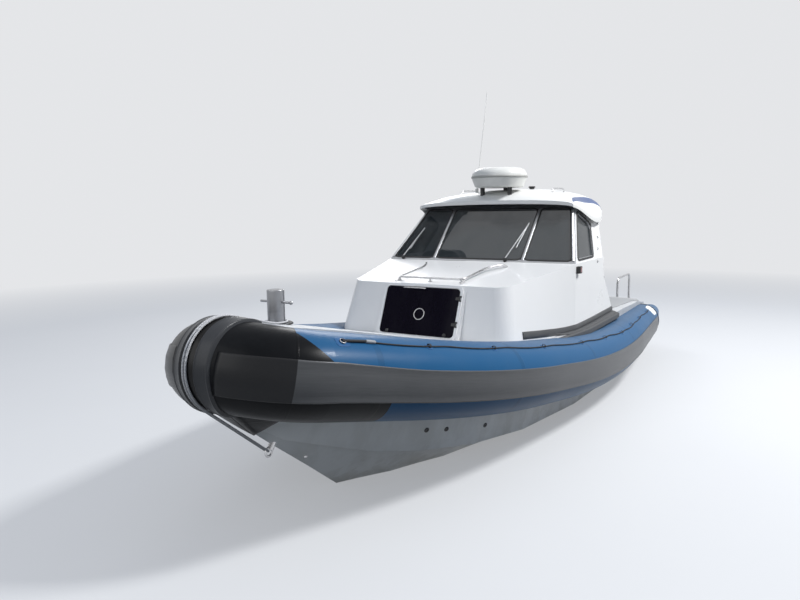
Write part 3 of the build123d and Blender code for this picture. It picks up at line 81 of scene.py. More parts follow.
class Value:
    """One output socket, on which Python's operators add Math nodes."""

    def __init__(self, kit: "Kit", socket: Any) -> None:
        self.kit = kit
        self.socket = socket

    def _math(self, operation: str, first: Any, second: Any = None) -> "Value":
        """Adds one Math node.

        Args:
            operation: The node's operation.
            first: Its first value or link.
            second: Its second value or link, if it has one.

        Returns:
            The result's socket.
        """
        inputs = {0: first} if second is None else {0: first, 1: second}
        return self.kit.node("ShaderNodeMath", {"operation": operation}, inputs)

    def __add__(self, other: Any) -> "Value":
        """Sum."""
        return self._math("ADD", self, other)

    __radd__ = __add__

    def __sub__(self, other: Any) -> "Value":
        """Difference."""
        return self._math("SUBTRACT", self, other)

    def __rsub__(self, other: Any) -> "Value":
        """Reflected difference."""
        return self._math("SUBTRACT", other, self)

    def __mul__(self, other: Any) -> "Value":
        """Product."""
        return self._math("MULTIPLY", self, other)

    __rmul__ = __mul__

    def __truediv__(self, other: Any) -> "Value":
        """Quotient."""
        return self._math("DIVIDE", self, other)

    def __rtruediv__(self, other: Any) -> "Value":
        """Reflected quotient."""
        return self._math("DIVIDE", other, self)

    def __pow__(self, other: Any) -> "Value":
        """Power."""
        return self._math("POWER", self, other)

    def __mod__(self, other: Any) -> "Value":
        """Remainder that is never negative."""
        return self._math("FLOORED_MODULO", self, other)

    def __abs__(self) -> "Value":
        """Size without sign."""
        return self._math("ABSOLUTE", self)

    def low(self, other: Any) -> "Value":
        """The smaller of the two."""
        return self._math("MINIMUM", self, other)

    def high(self, other: Any) -> "Value":
        """The larger of the two."""
        return self._math("MAXIMUM", self, other)

    def sine(self) -> "Value":
        """Sine of the value in radians."""
        return self._math("SINE", self)

    def above(self, edge: Any, soft: Number) -> "Value":
        """A smooth step from 0 below the edge to 1 above it.

        Args:
            edge: Where the step's middle lies.
            soft: The step's width.

        Returns:
            The stepped value.
        """
        shifted = (self - edge) / soft + 0.5
        settings = {"interpolation_type": "SMOOTHSTEP"}
        return self.kit.node("ShaderNodeMapRange", settings, {0: shifted, 1: 0.0, 2: 1.0, 3: 0.0, 4: 1.0})

    def within(self, low: Any, high: Any, soft: Number) -> "Value":
        """One between two limits and zero outside them, with soft edges."""
        return self.above(low, soft) * (1 - self.above(high, soft))


class Kit:
    """Builds one material's nodes."""

    def __init__(self, name: str) -> None:
        """Starts an empty node tree with its shader and output."""
        self.material = bpy.data.materials.new(name)
        self.material.use_nodes = True
        self.tree = self.material.node_tree
        self.tree.nodes.clear()
        self.shader = self.tree.nodes.new("ShaderNodeBsdfPrincipled")
        self.output = self.tree.nodes.new("ShaderNodeOutputMaterial")
        self.tree.links.new(self.shader.outputs[0], self.output.inputs["Surface"])
        self.place = self.node("ShaderNodeTexCoord", {}, {}, "Object")

    def node(self, kind: str, settings: dict[str, Any], inputs: dict[Any, Any], output: Any = 0) -> Value:
        """Adds a node.

        Args:
            kind: The node's type.
            settings: Its properties, set first.
            inputs: Values or links of its sockets, by name or number.
            output: The socket that is handed back.

        Returns:
            That socket, wrapped.
        """
        node = self.tree.nodes.new(kind)
        for key, value in settings.items():
            setattr(node, key, value)
        for key, value in inputs.items():
            self._feed(node.inputs[key], value)
        return Value(self, node.outputs[output])

    def _feed(self, socket: Any, value: Any) -> None:
        """Links a wrapped socket, or sets a constant.

        Args:
            socket: The input that is fed.
            value: A wrapped socket, a number or text, or three numbers for a colour or vector.
        """
        if isinstance(value, Value):
            self.tree.links.new(value.socket, socket)
        elif isinstance(value, tuple) and len(value) == 3 and socket.type == "RGBA":
            socket.default_value = (*value, 1.0)
        else:
            socket.default_value = value

    def set(self, **sockets: Any) -> None:
        """Feeds the shader's sockets, with underscores for spaces."""
        for name, value in sockets.items():
            self._feed(self.shader.inputs[name.replace("_", " ")], value)

    def noise(self, scale: Number, detail: Number = 3.0, rough: Number = 0.55, at: Any = None) -> Value:
        """Fractal noise from 0 to 1 at a point, by default the object's own."""
        inputs = {"Vector": at or self.place, "Scale": scale, "Detail": detail, "Roughness": rough}
        return self.node("ShaderNodeTexNoise", {}, inputs, 0)

    def cells(self, scale: Number, at: Any = None) -> Value:
        """Distance to the nearest point of a scattered pattern."""
        return self.node("ShaderNodeTexVoronoi", {}, {"Vector": at or self.place, "Scale": scale}, "Distance")

    def parts(self, vector: Any = None) -> tuple[Value, Value, Value]:
        """The three parts of a vector, by default the object's own place."""
        node = self.node("ShaderNodeSeparateXYZ", {}, {0: vector or self.place}).socket.node
        return tuple(Value(self, node.outputs[i]) for i in range(3))

    def stretched(self, x: Number, y: Number, z: Number) -> Value:
        """The object's place, scaled along each axis."""
        inputs = {"Vector": self.place, "Scale": (x, y, z)}
        return self.node("ShaderNodeMapping", {}, inputs, 0)

    def route(self) -> tuple[Value, Value]:
        """Run along a tube in metres and turns round it, from its UV map."""
        run, turn, _ = self.parts(self.node("ShaderNodeUVMap", {"uv_map": "route"}, {}))
        return run, turn

    def mix(self, factor: Any, first: Any, second: Any) -> Value:
        """A colour between two colours."""
        return self.node("ShaderNodeMix", {"data_type": "RGBA"}, {0: factor, 6: first, 7: second}, 2)

    def shade(self, colour: Any, factor: Any) -> Value:
        """A colour scaled by a grey value, kept as a colour."""
        grey = self.node("ShaderNodeCombineColor", {}, {0: factor, 1: factor, 2: factor})
        settings = {"data_type": "RGBA", "blend_type": "MULTIPLY"}
        return self.node("ShaderNodeMix", settings, {0: 1.0, 6: colour, 7: grey}, 2)

    def seen(self) -> Value:
        """One for camera, mirror and see-through rays, zero for the rays that light the object.

        Returns:
            The mask.
        """
        camera = self.node("ShaderNodeLightPath", {}, {}, "Is Camera Ray")
        outputs = camera.socket.node.outputs
        mirror, through = (Value(self, outputs[name]) for name in ("Is Glossy Ray", "Is Transmission Ray"))
        return camera.high(mirror).high(through)

    def relief(self, height: Any, distance: Number, strength: Number = 1.0) -> None:
        """Raises the surface by a height that feeds the shader's normal."""
        bump = self.node("ShaderNodeBump", {}, {"Height": height, "Distance": distance, "Strength": strength})
        self.set(Normal=bump)


class RoomKit(Kit):
    """Builds the world's nodes."""

    def __init__(self, name: str) -> None:
        """Starts a world whose place is the direction that is looked in."""
        self.world = bpy.data.worlds.new(name)
        self.world.use_nodes = True
        self.tree = self.world.node_tree
        self.shader = self.tree.nodes["Background"]
        self.place = self.node("ShaderNodeTexCoord", {}, {}, "Generated")


# Finishes


@dataclass(frozen=True)
class Gelcoat:
    """Polished or matt moulded plastic skin with faint waves and dirt.

    Attributes:
        grime: How much dust lies in patches.
        streaks: How much water has stained it, most near the waterline, and how strongly the painted ripple
            reflection shows low on the hull.
        grip: How high its non-slip grain stands, 0 for a polished skin.
        soiled: The share of each colour that dirt leaves.
    """

    name: str
    colour: Colour
    roughness: float
    grime: float
    streaks: float = 0.0
    grip: float = 0.0
    soiled: Colour = (0.42, 0.40, 0.34)

    def make(self) -> bpy.types.Material:
        """Builds the finish.

        Returns:
            The material.
        """
        kit = Kit(self.name)
        _, _, z = kit.parts()
        cloud = kit.noise(1.7, 5, 0.6)
        fine = kit.noise(38.0, 3, 0.6)
        dirt = (cloud.above(0.56, 0.30) * 0.6 + fine.above(0.62, 0.25) * 0.25) * self.grime
        if self.streaks:
            run = kit.noise(1.0, 4, 0.65, kit.stretched(2.2, 2.2, 0.35))
            # painted reflection: a rippled darker pattern low on the hull, after the water's ripple
            # reflections, added to the dirt with the stains
            water_ripple_reflection = kit.noise(1.0, 5, 0.6, kit.stretched(1.2, 7.5, 9.0))
            low_on_hull = 1 - z.above(0.22, 0.50)
            rippled_reflection = water_ripple_reflection.above(0.52, 0.10) * 0.40 * low_on_hull
            dirt = dirt + (run.above(0.50, 0.22) * 0.45 + rippled_reflection) * self.streaks
            dirt = dirt + (1 - z.above(0.06, 0.10)) * self.streaks * 0.5
        colour = kit.mix(dirt, self.colour, tuple(c * s for c, s in zip(self.colour, self.soiled)))
        kit.set(Base_Color=colour, Roughness=self.roughness + cloud * 0.10 + dirt * 0.25)
        kit.set(Coat_Weight=0.25 if self.grip == 0 else 0.0, Coat_Roughness=0.08)
        if self.grip:
            tooth = kit.cells(230.0)
            kit.relief(tooth * self.grip + fine * 0.2, 0.0016, 0.8)
        else:
            kit.relief(kit.noise(3.2, 2, 0.5) + fine * 0.03, 0.0015, 0.25)
        return kit.material


@dataclass(frozen=True)
class RoofGelcoat:
    """White roof skin with a dark blue crescent painted over each rear shoulder.

    Attributes:
        inner_arc: Where along the boat the crescent's inner edge comes furthest inboard, how
            fast it bends away from there, and how far from the centre plane it is there.
        outer_arc: The same for the outer edge, which runs straight ahead of that place.
        ends: Where the crescent starts and stops along the boat.
    """

    name: str = "roof_gelcoat"
    colour: Colour = (0.80, 0.80, 0.78)
    paint: Colour = (0.026, 0.066, 0.200)
    inner_arc: tuple[float, float, float] = (1.08, 0.307, 0.764)
    outer_arc: tuple[float, float, float] = (1.05, 0.30, 0.893)
    ends: tuple[float, float] = (0.40, 1.53)

    def make(self) -> bpy.types.Material:
        """Builds the finish; the crescent lies between two arcs seen from above.

        Returns:
            The material.
        """
        kit = Kit(self.name)
        x, y, _ = kit.parts()
        middle, bend, least = self.inner_arc
        inboard = (y - middle) ** 2 * bend + least
        middle, bend, least = self.outer_arc
        outboard = (y - middle).high(0.0) ** 2 * bend + least
        across = abs(x).above(inboard, 0.003) * (1 - abs(x).above(outboard, 0.003))
        crescent = across * y.within(*self.ends, 0.006)
        cloud = kit.noise(2.0, 5, 0.6)
        dirt = cloud.above(0.55, 0.3) * 0.07
        colour = kit.mix(dirt, self.colour, (0.40, 0.38, 0.33))
        kit.set(Base_Color=kit.mix(crescent, colour, self.paint), Roughness=0.24 + cloud * 0.1)
        kit.set(Coat_Weight=0.20 - crescent * 0.20, Coat_Roughness=0.08, Specular_IOR_Level=0.32)
        kit.relief(kit.noise(3.0, 2, 0.5) + kit.noise(60.0, 2, 0.5) * 0.03, 0.004, 0.25)
        return kit.material


class Hue(Enum):
    """How a tube's fabric is coloured."""

    BLUE = "blue"
    BLACK = "black"
    SPLIT = "split"


@dataclass(frozen=True)
class TubeFabric:
    """Glossy coated fabric with a fine weave, joint tapes, dust and painted sheen on top, and scuffs.

    Attributes:
        top_end: Metres of run at which the black nose ends over the tube.
        slant_turn: The turn below which that end slants aft.
        slant: Metres of run that it moves aft for each turn below.
        belly_end: Metres of run at which the black nose ends under the tube.
        first_joint: Metres of run at the first joint tape.
        joint_gap: Metres from tape to tape.
    """

    name: str
    hue: Hue
    blue: Colour = (0.015, 0.092, 0.212)
    black: Colour = (0.0030, 0.0036, 0.0050)
    # the paler grey that the top turns towards: dust, and painted sheen of the light on top
    dust: Colour = (0.20, 0.21, 0.22)
    top_end: float = 0.385
    slant_turn: float = 0.203
    slant: float = 1.31
    belly_end: float = 1.005
    first_joint: float = 1.60
    joint_gap: float = 1.42

    def make(self) -> bpy.types.Material:
        """Builds the finish; the black nose gives way to blue along a slant.

        Returns:
            The material.
        """
        kit = Kit(self.name)
        run, turn = kit.route()
        cloud = kit.noise(2.4, 5, 0.6)
        fine = kit.noise(120.0, 3, 0.6)
        sag = kit.noise(1.0, 3, 0.5, kit.stretched(5.0, 1.2, 5.0))
        black = turn * 0.0
        if self.hue is Hue.SPLIT:
            over = ((self.slant_turn - turn) * self.slant + self.top_end).high(self.top_end)
            upper = (1 - run.above(over, 0.003)) * turn.above(0.0, 0.01)
            lower = (1 - run.above(self.belly_end, 0.003)) * (1 - turn.above(0.0, 0.01))
            black = (upper + lower).low(1.0)
        elif self.hue is Hue.BLACK:
            black = black + 1.0
        base = kit.mix(black, self.blue, self.black)
        # dust and painted sheen: the upper side turns paler and greyer, most aft, for dust and for the light
        # falling on top
        top = turn.within(0.17, 0.44, 0.10) * (1 - black * 0.85)
        far = run.above(1.9, 2.4)
        speckled = cloud * 0.9 + fine.above(0.5, 0.4) * 0.4
        dusty = (top * speckled * (far * 0.38 + 0.08) + cloud.above(0.60, 0.3) * 0.03).low(0.8)
        dust_and_sheen_colour = kit.mix(dusty, base, self.dust)
        scraped = kit.noise(1.0, 6, 0.75, kit.stretched(9.0, 2.0, 22.0)).above(0.68, 0.05)
        scuff = scraped * 0.07 * (1 - black * 0.5)
        dust_and_sheen_colour = kit.mix(scuff, dust_and_sheen_colour, (0.34, 0.37, 0.40))
        beside = abs((run - self.first_joint) % self.joint_gap - self.joint_gap / 2)
        tape = beside.within(-1.0, 0.026, 0.002) + run.within(0.380, 0.390, 0.002)
        kit.set(Base_Color=kit.shade(dust_and_sheen_colour, 1 - tape * 0.12), Specular_IOR_Level=0.08)
        kit.set(Roughness=0.24 + cloud * 0.12 + fine * 0.05 + dusty * 0.5 + scuff * 1.2)
        kit.set(Coat_Weight=0.03, Coat_Roughness=0.10)
        kit.relief(sag + fine * 0.012 + tape * 0.18, 0.006, 0.5)
        return kit.material


@dataclass(frozen=True)
class WearRubber:
    """Grey rubber strap with a brushed sheen along its run.

    Attributes:
        dark_until: Metres of run over which it is near black.
        groove: Half the width of the groove along the turn's zero, painted near black as the shade in it, in
            the map's units.
    """

    name: str
    colour: Colour = (0.060, 0.061, 0.062)
    dark_until: float = -1.0
    roughness: float = 0.34
    groove: float = 0.0

    def make(self) -> bpy.types.Material:
        """Builds the finish.

        Returns:
            The material.
        """
        kit = Kit(self.name)
        run, turn = kit.route()
        line = kit.node("ShaderNodeCombineXYZ", {}, {0: run * 1.4, 1: turn * 46.0, 2: 0.0})
        brushed = kit.noise(3.0, 5, 0.7, line)
        cloud = kit.noise(5.0, 4, 0.6)
        tone = 0.72 + brushed * 0.45 + cloud * 0.2
        base = kit.shade(self.colour, tone)
        if self.dark_until > 0:
            base = kit.mix(1 - run.above(self.dark_until, 0.004), base, (0.010, 0.0105, 0.012))
        if self.groove:
            # painted shade: the groove is coloured near black for the shade that falls in it
            base = kit.mix(1 - abs(turn).above(self.groove, 0.003), base, (0.003, 0.003, 0.0035))
        mark = kit.noise(1.0, 6, 0.8, kit.stretched(14.0, 3.0, 30.0)).above(0.69, 0.05) * 0.14
        kit.set(Base_Color=kit.mix(mark, base, (0.24, 0.25, 0.26)), Specular_IOR_Level=0.22)
        kit.set(Roughness=self.roughness + brushed * 0.14 + mark, Coat_Weight=0.06, Coat_Roughness=0.22)
        kit.relief(brushed * 0.6 + kit.noise(160.0, 2, 0.5) * 0.25, 0.0012, 0.7)
        return kit.material


@dataclass(frozen=True)
class SoftPlastic:
    """Matt or satin rubber or plastic with a fine grain."""

    name: str
    colour: Colour
    roughness: float = 0.55
    grain: float = 0.5
    coat: float = 0.0

    def make(self) -> bpy.types.Material:
        """Builds the finish.

        Returns:
            The material.
        """
        kit = Kit(self.name)
        cloud = kit.noise(9.0, 4, 0.6)
        fine = kit.noise(420.0, 2, 0.6)
        dusty = tuple(min(1.0, c * 1.5 + 0.04) for c in self.colour)
        kit.set(Base_Color=kit.mix(cloud.above(0.58, 0.3) * 0.16, self.colour, dusty))
        kit.set(Roughness=self.roughness + cloud * 0.12, Coat_Weight=self.coat, Coat_Roughness=0.1)
        kit.relief(fine * self.grain, 0.0006, 0.6)
        return kit.material


@dataclass(frozen=True)
class BareMetal:
    """Polished, brushed or anodised metal, with black plastic under a height if one is given."""

    name: str
    colour: Colour = (0.56, 0.56, 0.57)
    roughness: float = 0.16
    brushed: float = 0.15
    plastic_below: float = -9.0

    def make(self) -> bpy.types.Material:
        """Builds the finish.

        Returns:
            The material.
        """
        kit = Kit(self.name)
        _, _, z = kit.parts()
        streak = kit.noise(1.0, 4, 0.7, kit.stretched(60.0, 60.0, 900.0))
        cloud = kit.noise(14.0, 4, 0.6)
        spot = kit.noise(90.0, 4, 0.7).above(0.76, 0.06) * 0.22
        plastic = 1 - z.above(self.plastic_below, 0.002)
        metal = kit.mix(spot, kit.shade(self.colour, 0.88 + cloud * 0.2), (0.20, 0.15, 0.11))
        kit.set(Base_Color=kit.mix(plastic, metal, (0.014, 0.014, 0.015)), Metallic=1 - plastic)
        kit.set(Roughness=self.roughness + streak * self.brushed + cloud * 0.08 + spot * 0.4 + plastic * 0.2)
        kit.relief(streak * 0.25 + cloud * 0.2, 0.0004, 0.4)
        return kit.material


@dataclass(frozen=True)
class Glazing:
    """Clear or dark window sheet with faint wiped smears."""

    name: str
    colour: Colour = (0.10, 0.13, 0.13)
    alpha: float = 0.30
    roughness: float = 0.03
    dusty: float = 0.06
    gloss: float = 0.12

    def make(self) -> bpy.types.Material:
        """Builds the finish.

        Returns:
            The material.
        """
        kit = Kit(self.name)
        smear = kit.noise(1.0, 5, 0.7, kit.stretched(6.0, 2.0, 2.5))
        dust = smear.above(0.56, 0.25)
        kit.set(Base_Color=kit.mix(dust * self.dusty, self.colour, (0.45, 0.47, 0.46)))
        kit.set(Roughness=self.roughness + dust * 0.05, Coat_Weight=self.gloss * 0.3, Coat_Roughness=0.02)
        kit.set(Specular_IOR_Level=self.gloss)
        kit.set(Alpha=(dust * 0.06 + self.alpha).low(1.0))
        return kit.material


@dataclass(frozen=True)
class Lens:
    """Coloured lamp lens."""

    name: str
    colour: Colour

    def make(self) -> bpy.types.Material:
        """Builds the finish, with fine prisms pressed in its face.

        Returns:
            The material.
        """
        kit = Kit(self.name)
        _, _, z = kit.parts()
        prism = (z * 1200.0).sine()
        tone = 0.85 + kit.noise(30.0) * 0.3
        kit.set(Base_Color=kit.shade(self.colour, tone), Roughness=0.10 + prism * 0.03)
        kit.set(Coat_Weight=0.8, Coat_Roughness=0.03)
        kit.relief(prism, 0.0006, 0.5)
        return kit.material


@dataclass(frozen=True)
class Upholstery:
    """Vinyl with a leather grain."""

    name: str
    colour: Colour

    def make(self) -> bpy.types.Material:
        """Builds the finish.

        Returns:
            The material.
        """
        kit = Kit(self.name)
        grain = kit.cells(420.0)
        cloud = kit.noise(7.0, 4, 0.6)
        kit.set(Base_Color=kit.shade(self.colour, 0.82 + cloud * 0.30 + grain * 0.15))
        kit.set(Roughness=0.44 + cloud * 0.15, Coat_Weight=0.1, Coat_Roughness=0.4)
        kit.relief(grain + kit.noise(60.0, 3, 0.6) * 0.5, 0.0009, 0.7)
        return kit.material


@dataclass(frozen=True)
class Rope:
    """Braided rope, its strands pressed in slantwise both ways."""

    name: str
    colour: Colour
    pitch: float = 0.012

    def make(self) -> bpy.types.Material:
        """Builds the finish; two slanted waves of the place cross to a weave.

        Returns:
            The material.
        """
        kit = Kit(self.name)
        x, y, z = kit.parts()
        wave = 2 * math.pi / self.pitch
        weave = ((x + y + z) * wave).sine().high(((x - y + z * 0.7) * wave).sine())
        fuzz = kit.noise(700.0, 3, 0.7)
        # painted shade: the colour darkens in the weave's grooves and lightens on the strands' crests
        tone = 0.62 + weave * 0.25 + fuzz * 0.5
        kit.set(Base_Color=kit.shade(self.colour, tone), Roughness=0.80 + weave * 0.1)
        kit.relief(weave + fuzz * 0.4, 0.0010, 0.9)
        return kit.material


@dataclass(frozen=True)
class Floor:
    """Plain pale studio floor that fades into the room, and sends little light back up.

    Attributes:
        bounce: Its colour for the rays that light the object.
        room: The colour that it fades to.
        fade: Distances from the middle over which it fades.
        least: The least share of the faded colour.
    """

    name: str = "studio_floor"
    colour: Colour = (0.70, 0.71, 0.72)
    bounce: Colour = (0.11, 0.12, 0.13)
    room: Colour = (0.78, 0.79, 0.81)
    fade: tuple[float, float] = (4.0, 17.0)
    least: float = 0.40

    def make(self) -> bpy.types.Material:
        """Builds the finish.

        Returns:
            The material.
        """
        kit = Kit(self.name)
        x, y, _ = kit.parts()
        seen = kit.seen()
        shown = kit.shade(self.colour, 0.985 + kit.noise(0.8) * 0.03)
        kit.set(Base_Color=kit.mix(seen, self.bounce, shown), Roughness=0.9, Specular_IOR_Level=0.05)
        far = ((x**2 + y**2) ** 0.5 - self.fade[0]) / (self.fade[1] - self.fade[0])
        glow = kit.node("ShaderNodeEmission", {}, {"Color": kit.mix(seen, self.bounce, self.room)})
        surface = Value(kit, kit.shader.outputs[0])
        blend = kit.node("ShaderNodeMixShader", {}, {0: far.high(self.least).low(1.0), 1: surface, 2: glow})
        kit.tree.links.new(blend.socket, kit.output.inputs["Surface"])
        return kit.material


# Surfaces


class Side(Enum):
    """A side of the boat, with its sign along X."""

    PORT = 1
    STARBOARD = -1

    @property
    def label(self) -> str:
        """The side's word in the names of pieces and nodes."""
        return self.name.lower()

    def laid(self, points: Any) -> Array:
        """Port points where they are, or mirrored to starboard."""
        return np.asarray(points) * np.array([self.value, 1.0, 1.0])


def smooth_between(places: Sequence[float], values: Sequence[float], at: Array) -> Array:
    """A monotone cubic through a table's rows.

    Each row's slope is the weighted harmonic mean of the straight slopes
    beside it, or zero where they disagree in sign, and each gap is a cubic
    with those slopes at its ends.

    Args:
        places: Where the rows are, rising.
        values: The rows' values.
        at: Where the curve is read.

    Returns:
        The curve's values.
    """
    x, y = np.asarray(places, float), np.asarray(values, float)
    gap, rise = np.diff(x), np.diff(y)
    slope = rise / gap
    before, after = slope[:-1], slope[1:]
    w1, w2 = 2 * gap[1:] + gap[:-1], gap[1:] + 2 * gap[:-1]
    safe = before * after > 0
    with np.errstate(divide="ignore", invalid="ignore"):
        middle = np.where(safe, (w1 + w2) / (w1 / before + w2 / after), 0.0)
    tangent = np.concatenate(([slope[0]], middle, [slope[-1]]))
    i = np.clip(np.searchsorted(x, at) - 1, 0, len(gap) - 1)
    t = np.clip((at - x[i]) / gap[i], 0, 1)
    h = gap[i]
    return (
        y[i] * (1 + 2 * t) * (1 - t) ** 2
        + y[i + 1] * t**2 * (3 - 2 * t)
        + h * tangent[i] * t * (1 - t) ** 2
        + h * tangent[i + 1] * t**2 * (t - 1)
    )


def unit(vectors: Array) -> Array:
    """Vectors scaled to length one."""
    return vectors / np.linalg.norm(vectors, axis=-1, keepdims=True)


def length_along(path: Array) -> Array:
    """A path's length up to each of its points, straight from point to point."""
    return np.concatenate(([0.0], np.cumsum(np.linalg.norm(np.diff(path, axis=0), axis=1))))


@dataclass
class Sheet:
    """A grid of points that becomes one mesh object.

    Attributes:
        grid: Points, rows by columns by three.
        loop_rows: The last row joins the first.
        loop_columns: The last column joins the first.
        caps: A fan on points of its own closes the first and last row.
        route: Run and turn of each grid point, for a UV map.
        flip: Turns the faces over.
        thickness: Wall added inward, 0 for none.
    """

    name: str
    grid: Array
    finish: bpy.types.Material
    body: str = "boat"
    loop_rows: bool = False
    loop_columns: bool = False
    caps: bool = False
    route: Optional[Array] = None
    flip: bool = False
    thickness: float = 0.0

    def build(self) -> bpy.types.Object:
        """Builds the mesh by index arithmetic on the grid.

        Quad (i, j) joins grid points (i, j), (i + 1, j), (i + 1, j + 1) and
        (i, j + 1), with indices wrapped where the grid closes on itself.

        Returns:
            The object, riding on its body.
        """
        rows, columns = self.grid.shape[:2]
        i = np.arange(rows if self.loop_rows else rows - 1)
        j = np.arange(columns if self.loop_columns else columns - 1)
        a, b = [k.ravel() for k in np.meshgrid(i, j, indexing="ij")]
        corner_i = np.stack([a, a + 1, a + 1, a], 1)
        corner_j = np.stack([b, b, b + 1, b + 1], 1)
        polygons = ((corner_i % rows) * columns + corner_j % columns).tolist()
        points = self.grid.reshape(-1, 3)
        if self.caps:
            points, fans = self._capped(points)
            polygons += fans
        if self.flip:
            polygons = [p[::-1] for p in polygons]
        mesh = bpy.data.meshes.new(self.name)
        mesh.from_pydata(points.tolist(), [], polygons)
        if self.route is not None:
            self._map(mesh, corner_i, corner_j)
        mesh.shade_smooth()
        return place(self.name, mesh, self.finish, self.body, self.thickness)

    def _capped(self, points: Array) -> tuple[Array, list]:
        """Closes both ends with fans of triangles round each end row's mean point.

        Args:
            points: The grid's points.

        Returns:
            The points with those of the two caps behind them, and the triangles.
        """
        rows, columns = self.grid.shape[:2]
        ends = self.grid[[0, -1]]
        first, last = rows * columns, (rows + 1) * columns
        hub = last + columns
        k = np.arange(columns if self.loop_columns else columns - 1)
        following = (k + 1) % columns
        near = np.stack([first + k, first + following, np.full_like(k, hub)], 1)
        far = np.stack([last + following, last + k, np.full_like(k, hub + 1)], 1)
        return np.vstack([points, ends.reshape(-1, 3), ends.mean(axis=1)]), near.tolist() + far.tolist()

    def _map(self, mesh: bpy.types.Mesh, corner_i: Array, corner_j: Array) -> None:
        """Writes run and turn to a UV map, unwrapped past the closing row and column.

        Args:
            mesh: The mesh, whose quads come before its caps.
            corner_i: The row of each quad's corners.
            corner_j: Their column.
        """
        layer = mesh.uv_layers.new(name="route")
        wide = self.route
        if self.loop_columns:
            step = wide[:, -1:] * 2 - wide[:, -2:-1]
            wide = np.concatenate([wide, step], 1)
        if self.loop_rows:
            step = wide[-1:] * 2 - wide[-2:-1]
            wide = np.concatenate([wide, step], 0)
        flat = np.zeros((len(mesh.loops), 2))
        quads = wide[corner_i, corner_j]
        if self.flip:
            quads = quads[:, ::-1]
        flat[: quads.shape[0] * 4] = quads.reshape(-1, 2)
        layer.data.foreach_set("uv", flat.ravel())


def hose(name: str, grid: Array, finish: bpy.types.Material, route: Any = None, **more: Any) -> Sheet:
    """A sheet that closes round its columns and is capped at both ends."""
    return Sheet(name, grid, finish, loop_columns=True, caps=True, route=route, **more)


def place(
    name: str, mesh: bpy.types.Mesh, finish: bpy.types.Material, body: str, thickness: float = 0.0
) -> bpy.types.Object:
    """Links a mesh as a piece at the origin, riding on a body.

    Args:
        name: The piece's name.
        mesh: Its mesh, in the boat's frame.
        finish: Its material.
        body: The body that carries it.
        thickness: Wall added inward, 0 for none.

    Returns:
        The new object.
    """
    mesh.materials.clear()
    mesh.materials.append(finish)
    piece = bpy.data.objects.new(name, mesh)
    bpy.context.scene.collection.objects.link(piece)
    if thickness:
        wall = piece.modifiers.new("wall", "SOLIDIFY")
        wall.thickness, wall.offset = thickness, -1.0
    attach(piece, body)
    return piece


def carried(path: Array, profile: Array, up: Array, closed: bool = False) -> tuple[Array, Array]:
    """A profile carried along a path.

    Each row is the path's point plus the profile's first part along the side
    vector, up crossed with the tangent, and its second part along the vector
    square to both.

    Args:
        path: Points, n by 3.
        profile: (side, rise) pairs, k by 2, or n by k by 2.
        up: A vector, or n vectors, that rise is measured towards.
        closed: The path's end joins its start.

    Returns:
        The grid, and the run and turn of its points.
    """
    around = np.roll(path, -1, 0) - np.roll(path, 1, 0)
    tangent = unit(around if closed else np.gradient(path, axis=0))
    side = unit(np.cross(tangent, np.broadcast_to(up, path.shape)))
    rise = np.cross(side, tangent)
    shape = np.broadcast_to(profile, (len(path),) + profile.shape[-2:])
    grid = path[:, None] + shape[..., :1] * side[:, None] + shape[..., 1:] * rise[:, None]
    turn = np.linspace(0, 1, shape.shape[1], endpoint=False)
    return grid, np.stack(np.meshgrid(length_along(path), turn, indexing="ij"), -1)


def ring(radius: Number, count: int) -> Array:
    """A round profile: cosine and sine of equal turns, times a radius."""
    a = np.linspace(0, 2 * np.pi, count, endpoint=False)
    return np.stack([np.cos(a) * radius, np.sin(a) * radius], 1)


def strip_profile(half: Number, shoulder: Number, flat: Number, top: Number, foot: Number = -0.004) -> Array:
    """A bevelled strip's section, symmetric about its middle.

    It rises square from its foot to the shoulder, and slants from there to
    its flat top.

    Args:
        half: Half its width.
        shoulder: The height of its square edge.
        flat: Half the width of its top.
        top: The top's height.
        foot: The height at which it starts, under the surface.

    Returns:
        (side, rise) pairs.
    """
    edge = [(half, foot), (half, shoulder), (flat, top)]
    return np.array([(-out, rise) for out, rise in edge] + edge[::-1])


def turned(profile: Sequence[tuple], centre: Sequence[float], axis: Sequence[float], count: int) -> Array:
    """A profile turned about an axis.

    Each (radius, height) pair becomes a ring: centre plus height times the
    axis plus radius times (cos a p - sin a q), with p and q square to it.

    Args:
        profile: Pairs of radius and height, rising.
        centre: The axis's foot.
        axis: Its direction.
        count: Points in a ring.

    Returns:
        Rings by points by three.
    """
    shape = np.asarray(profile, float)
    axis = unit(np.asarray(axis, float))
    p = unit(np.cross(axis, (0.13, 0.31, 0.94)))
    q = np.cross(axis, p)
    a = np.linspace(0, 2 * np.pi, count, endpoint=False)[:, None]
    spoke = np.cos(a) * p - np.sin(a) * q
    return np.asarray(centre, float) + shape[:, None, 1:] * axis + shape[:, None, :1] * spoke


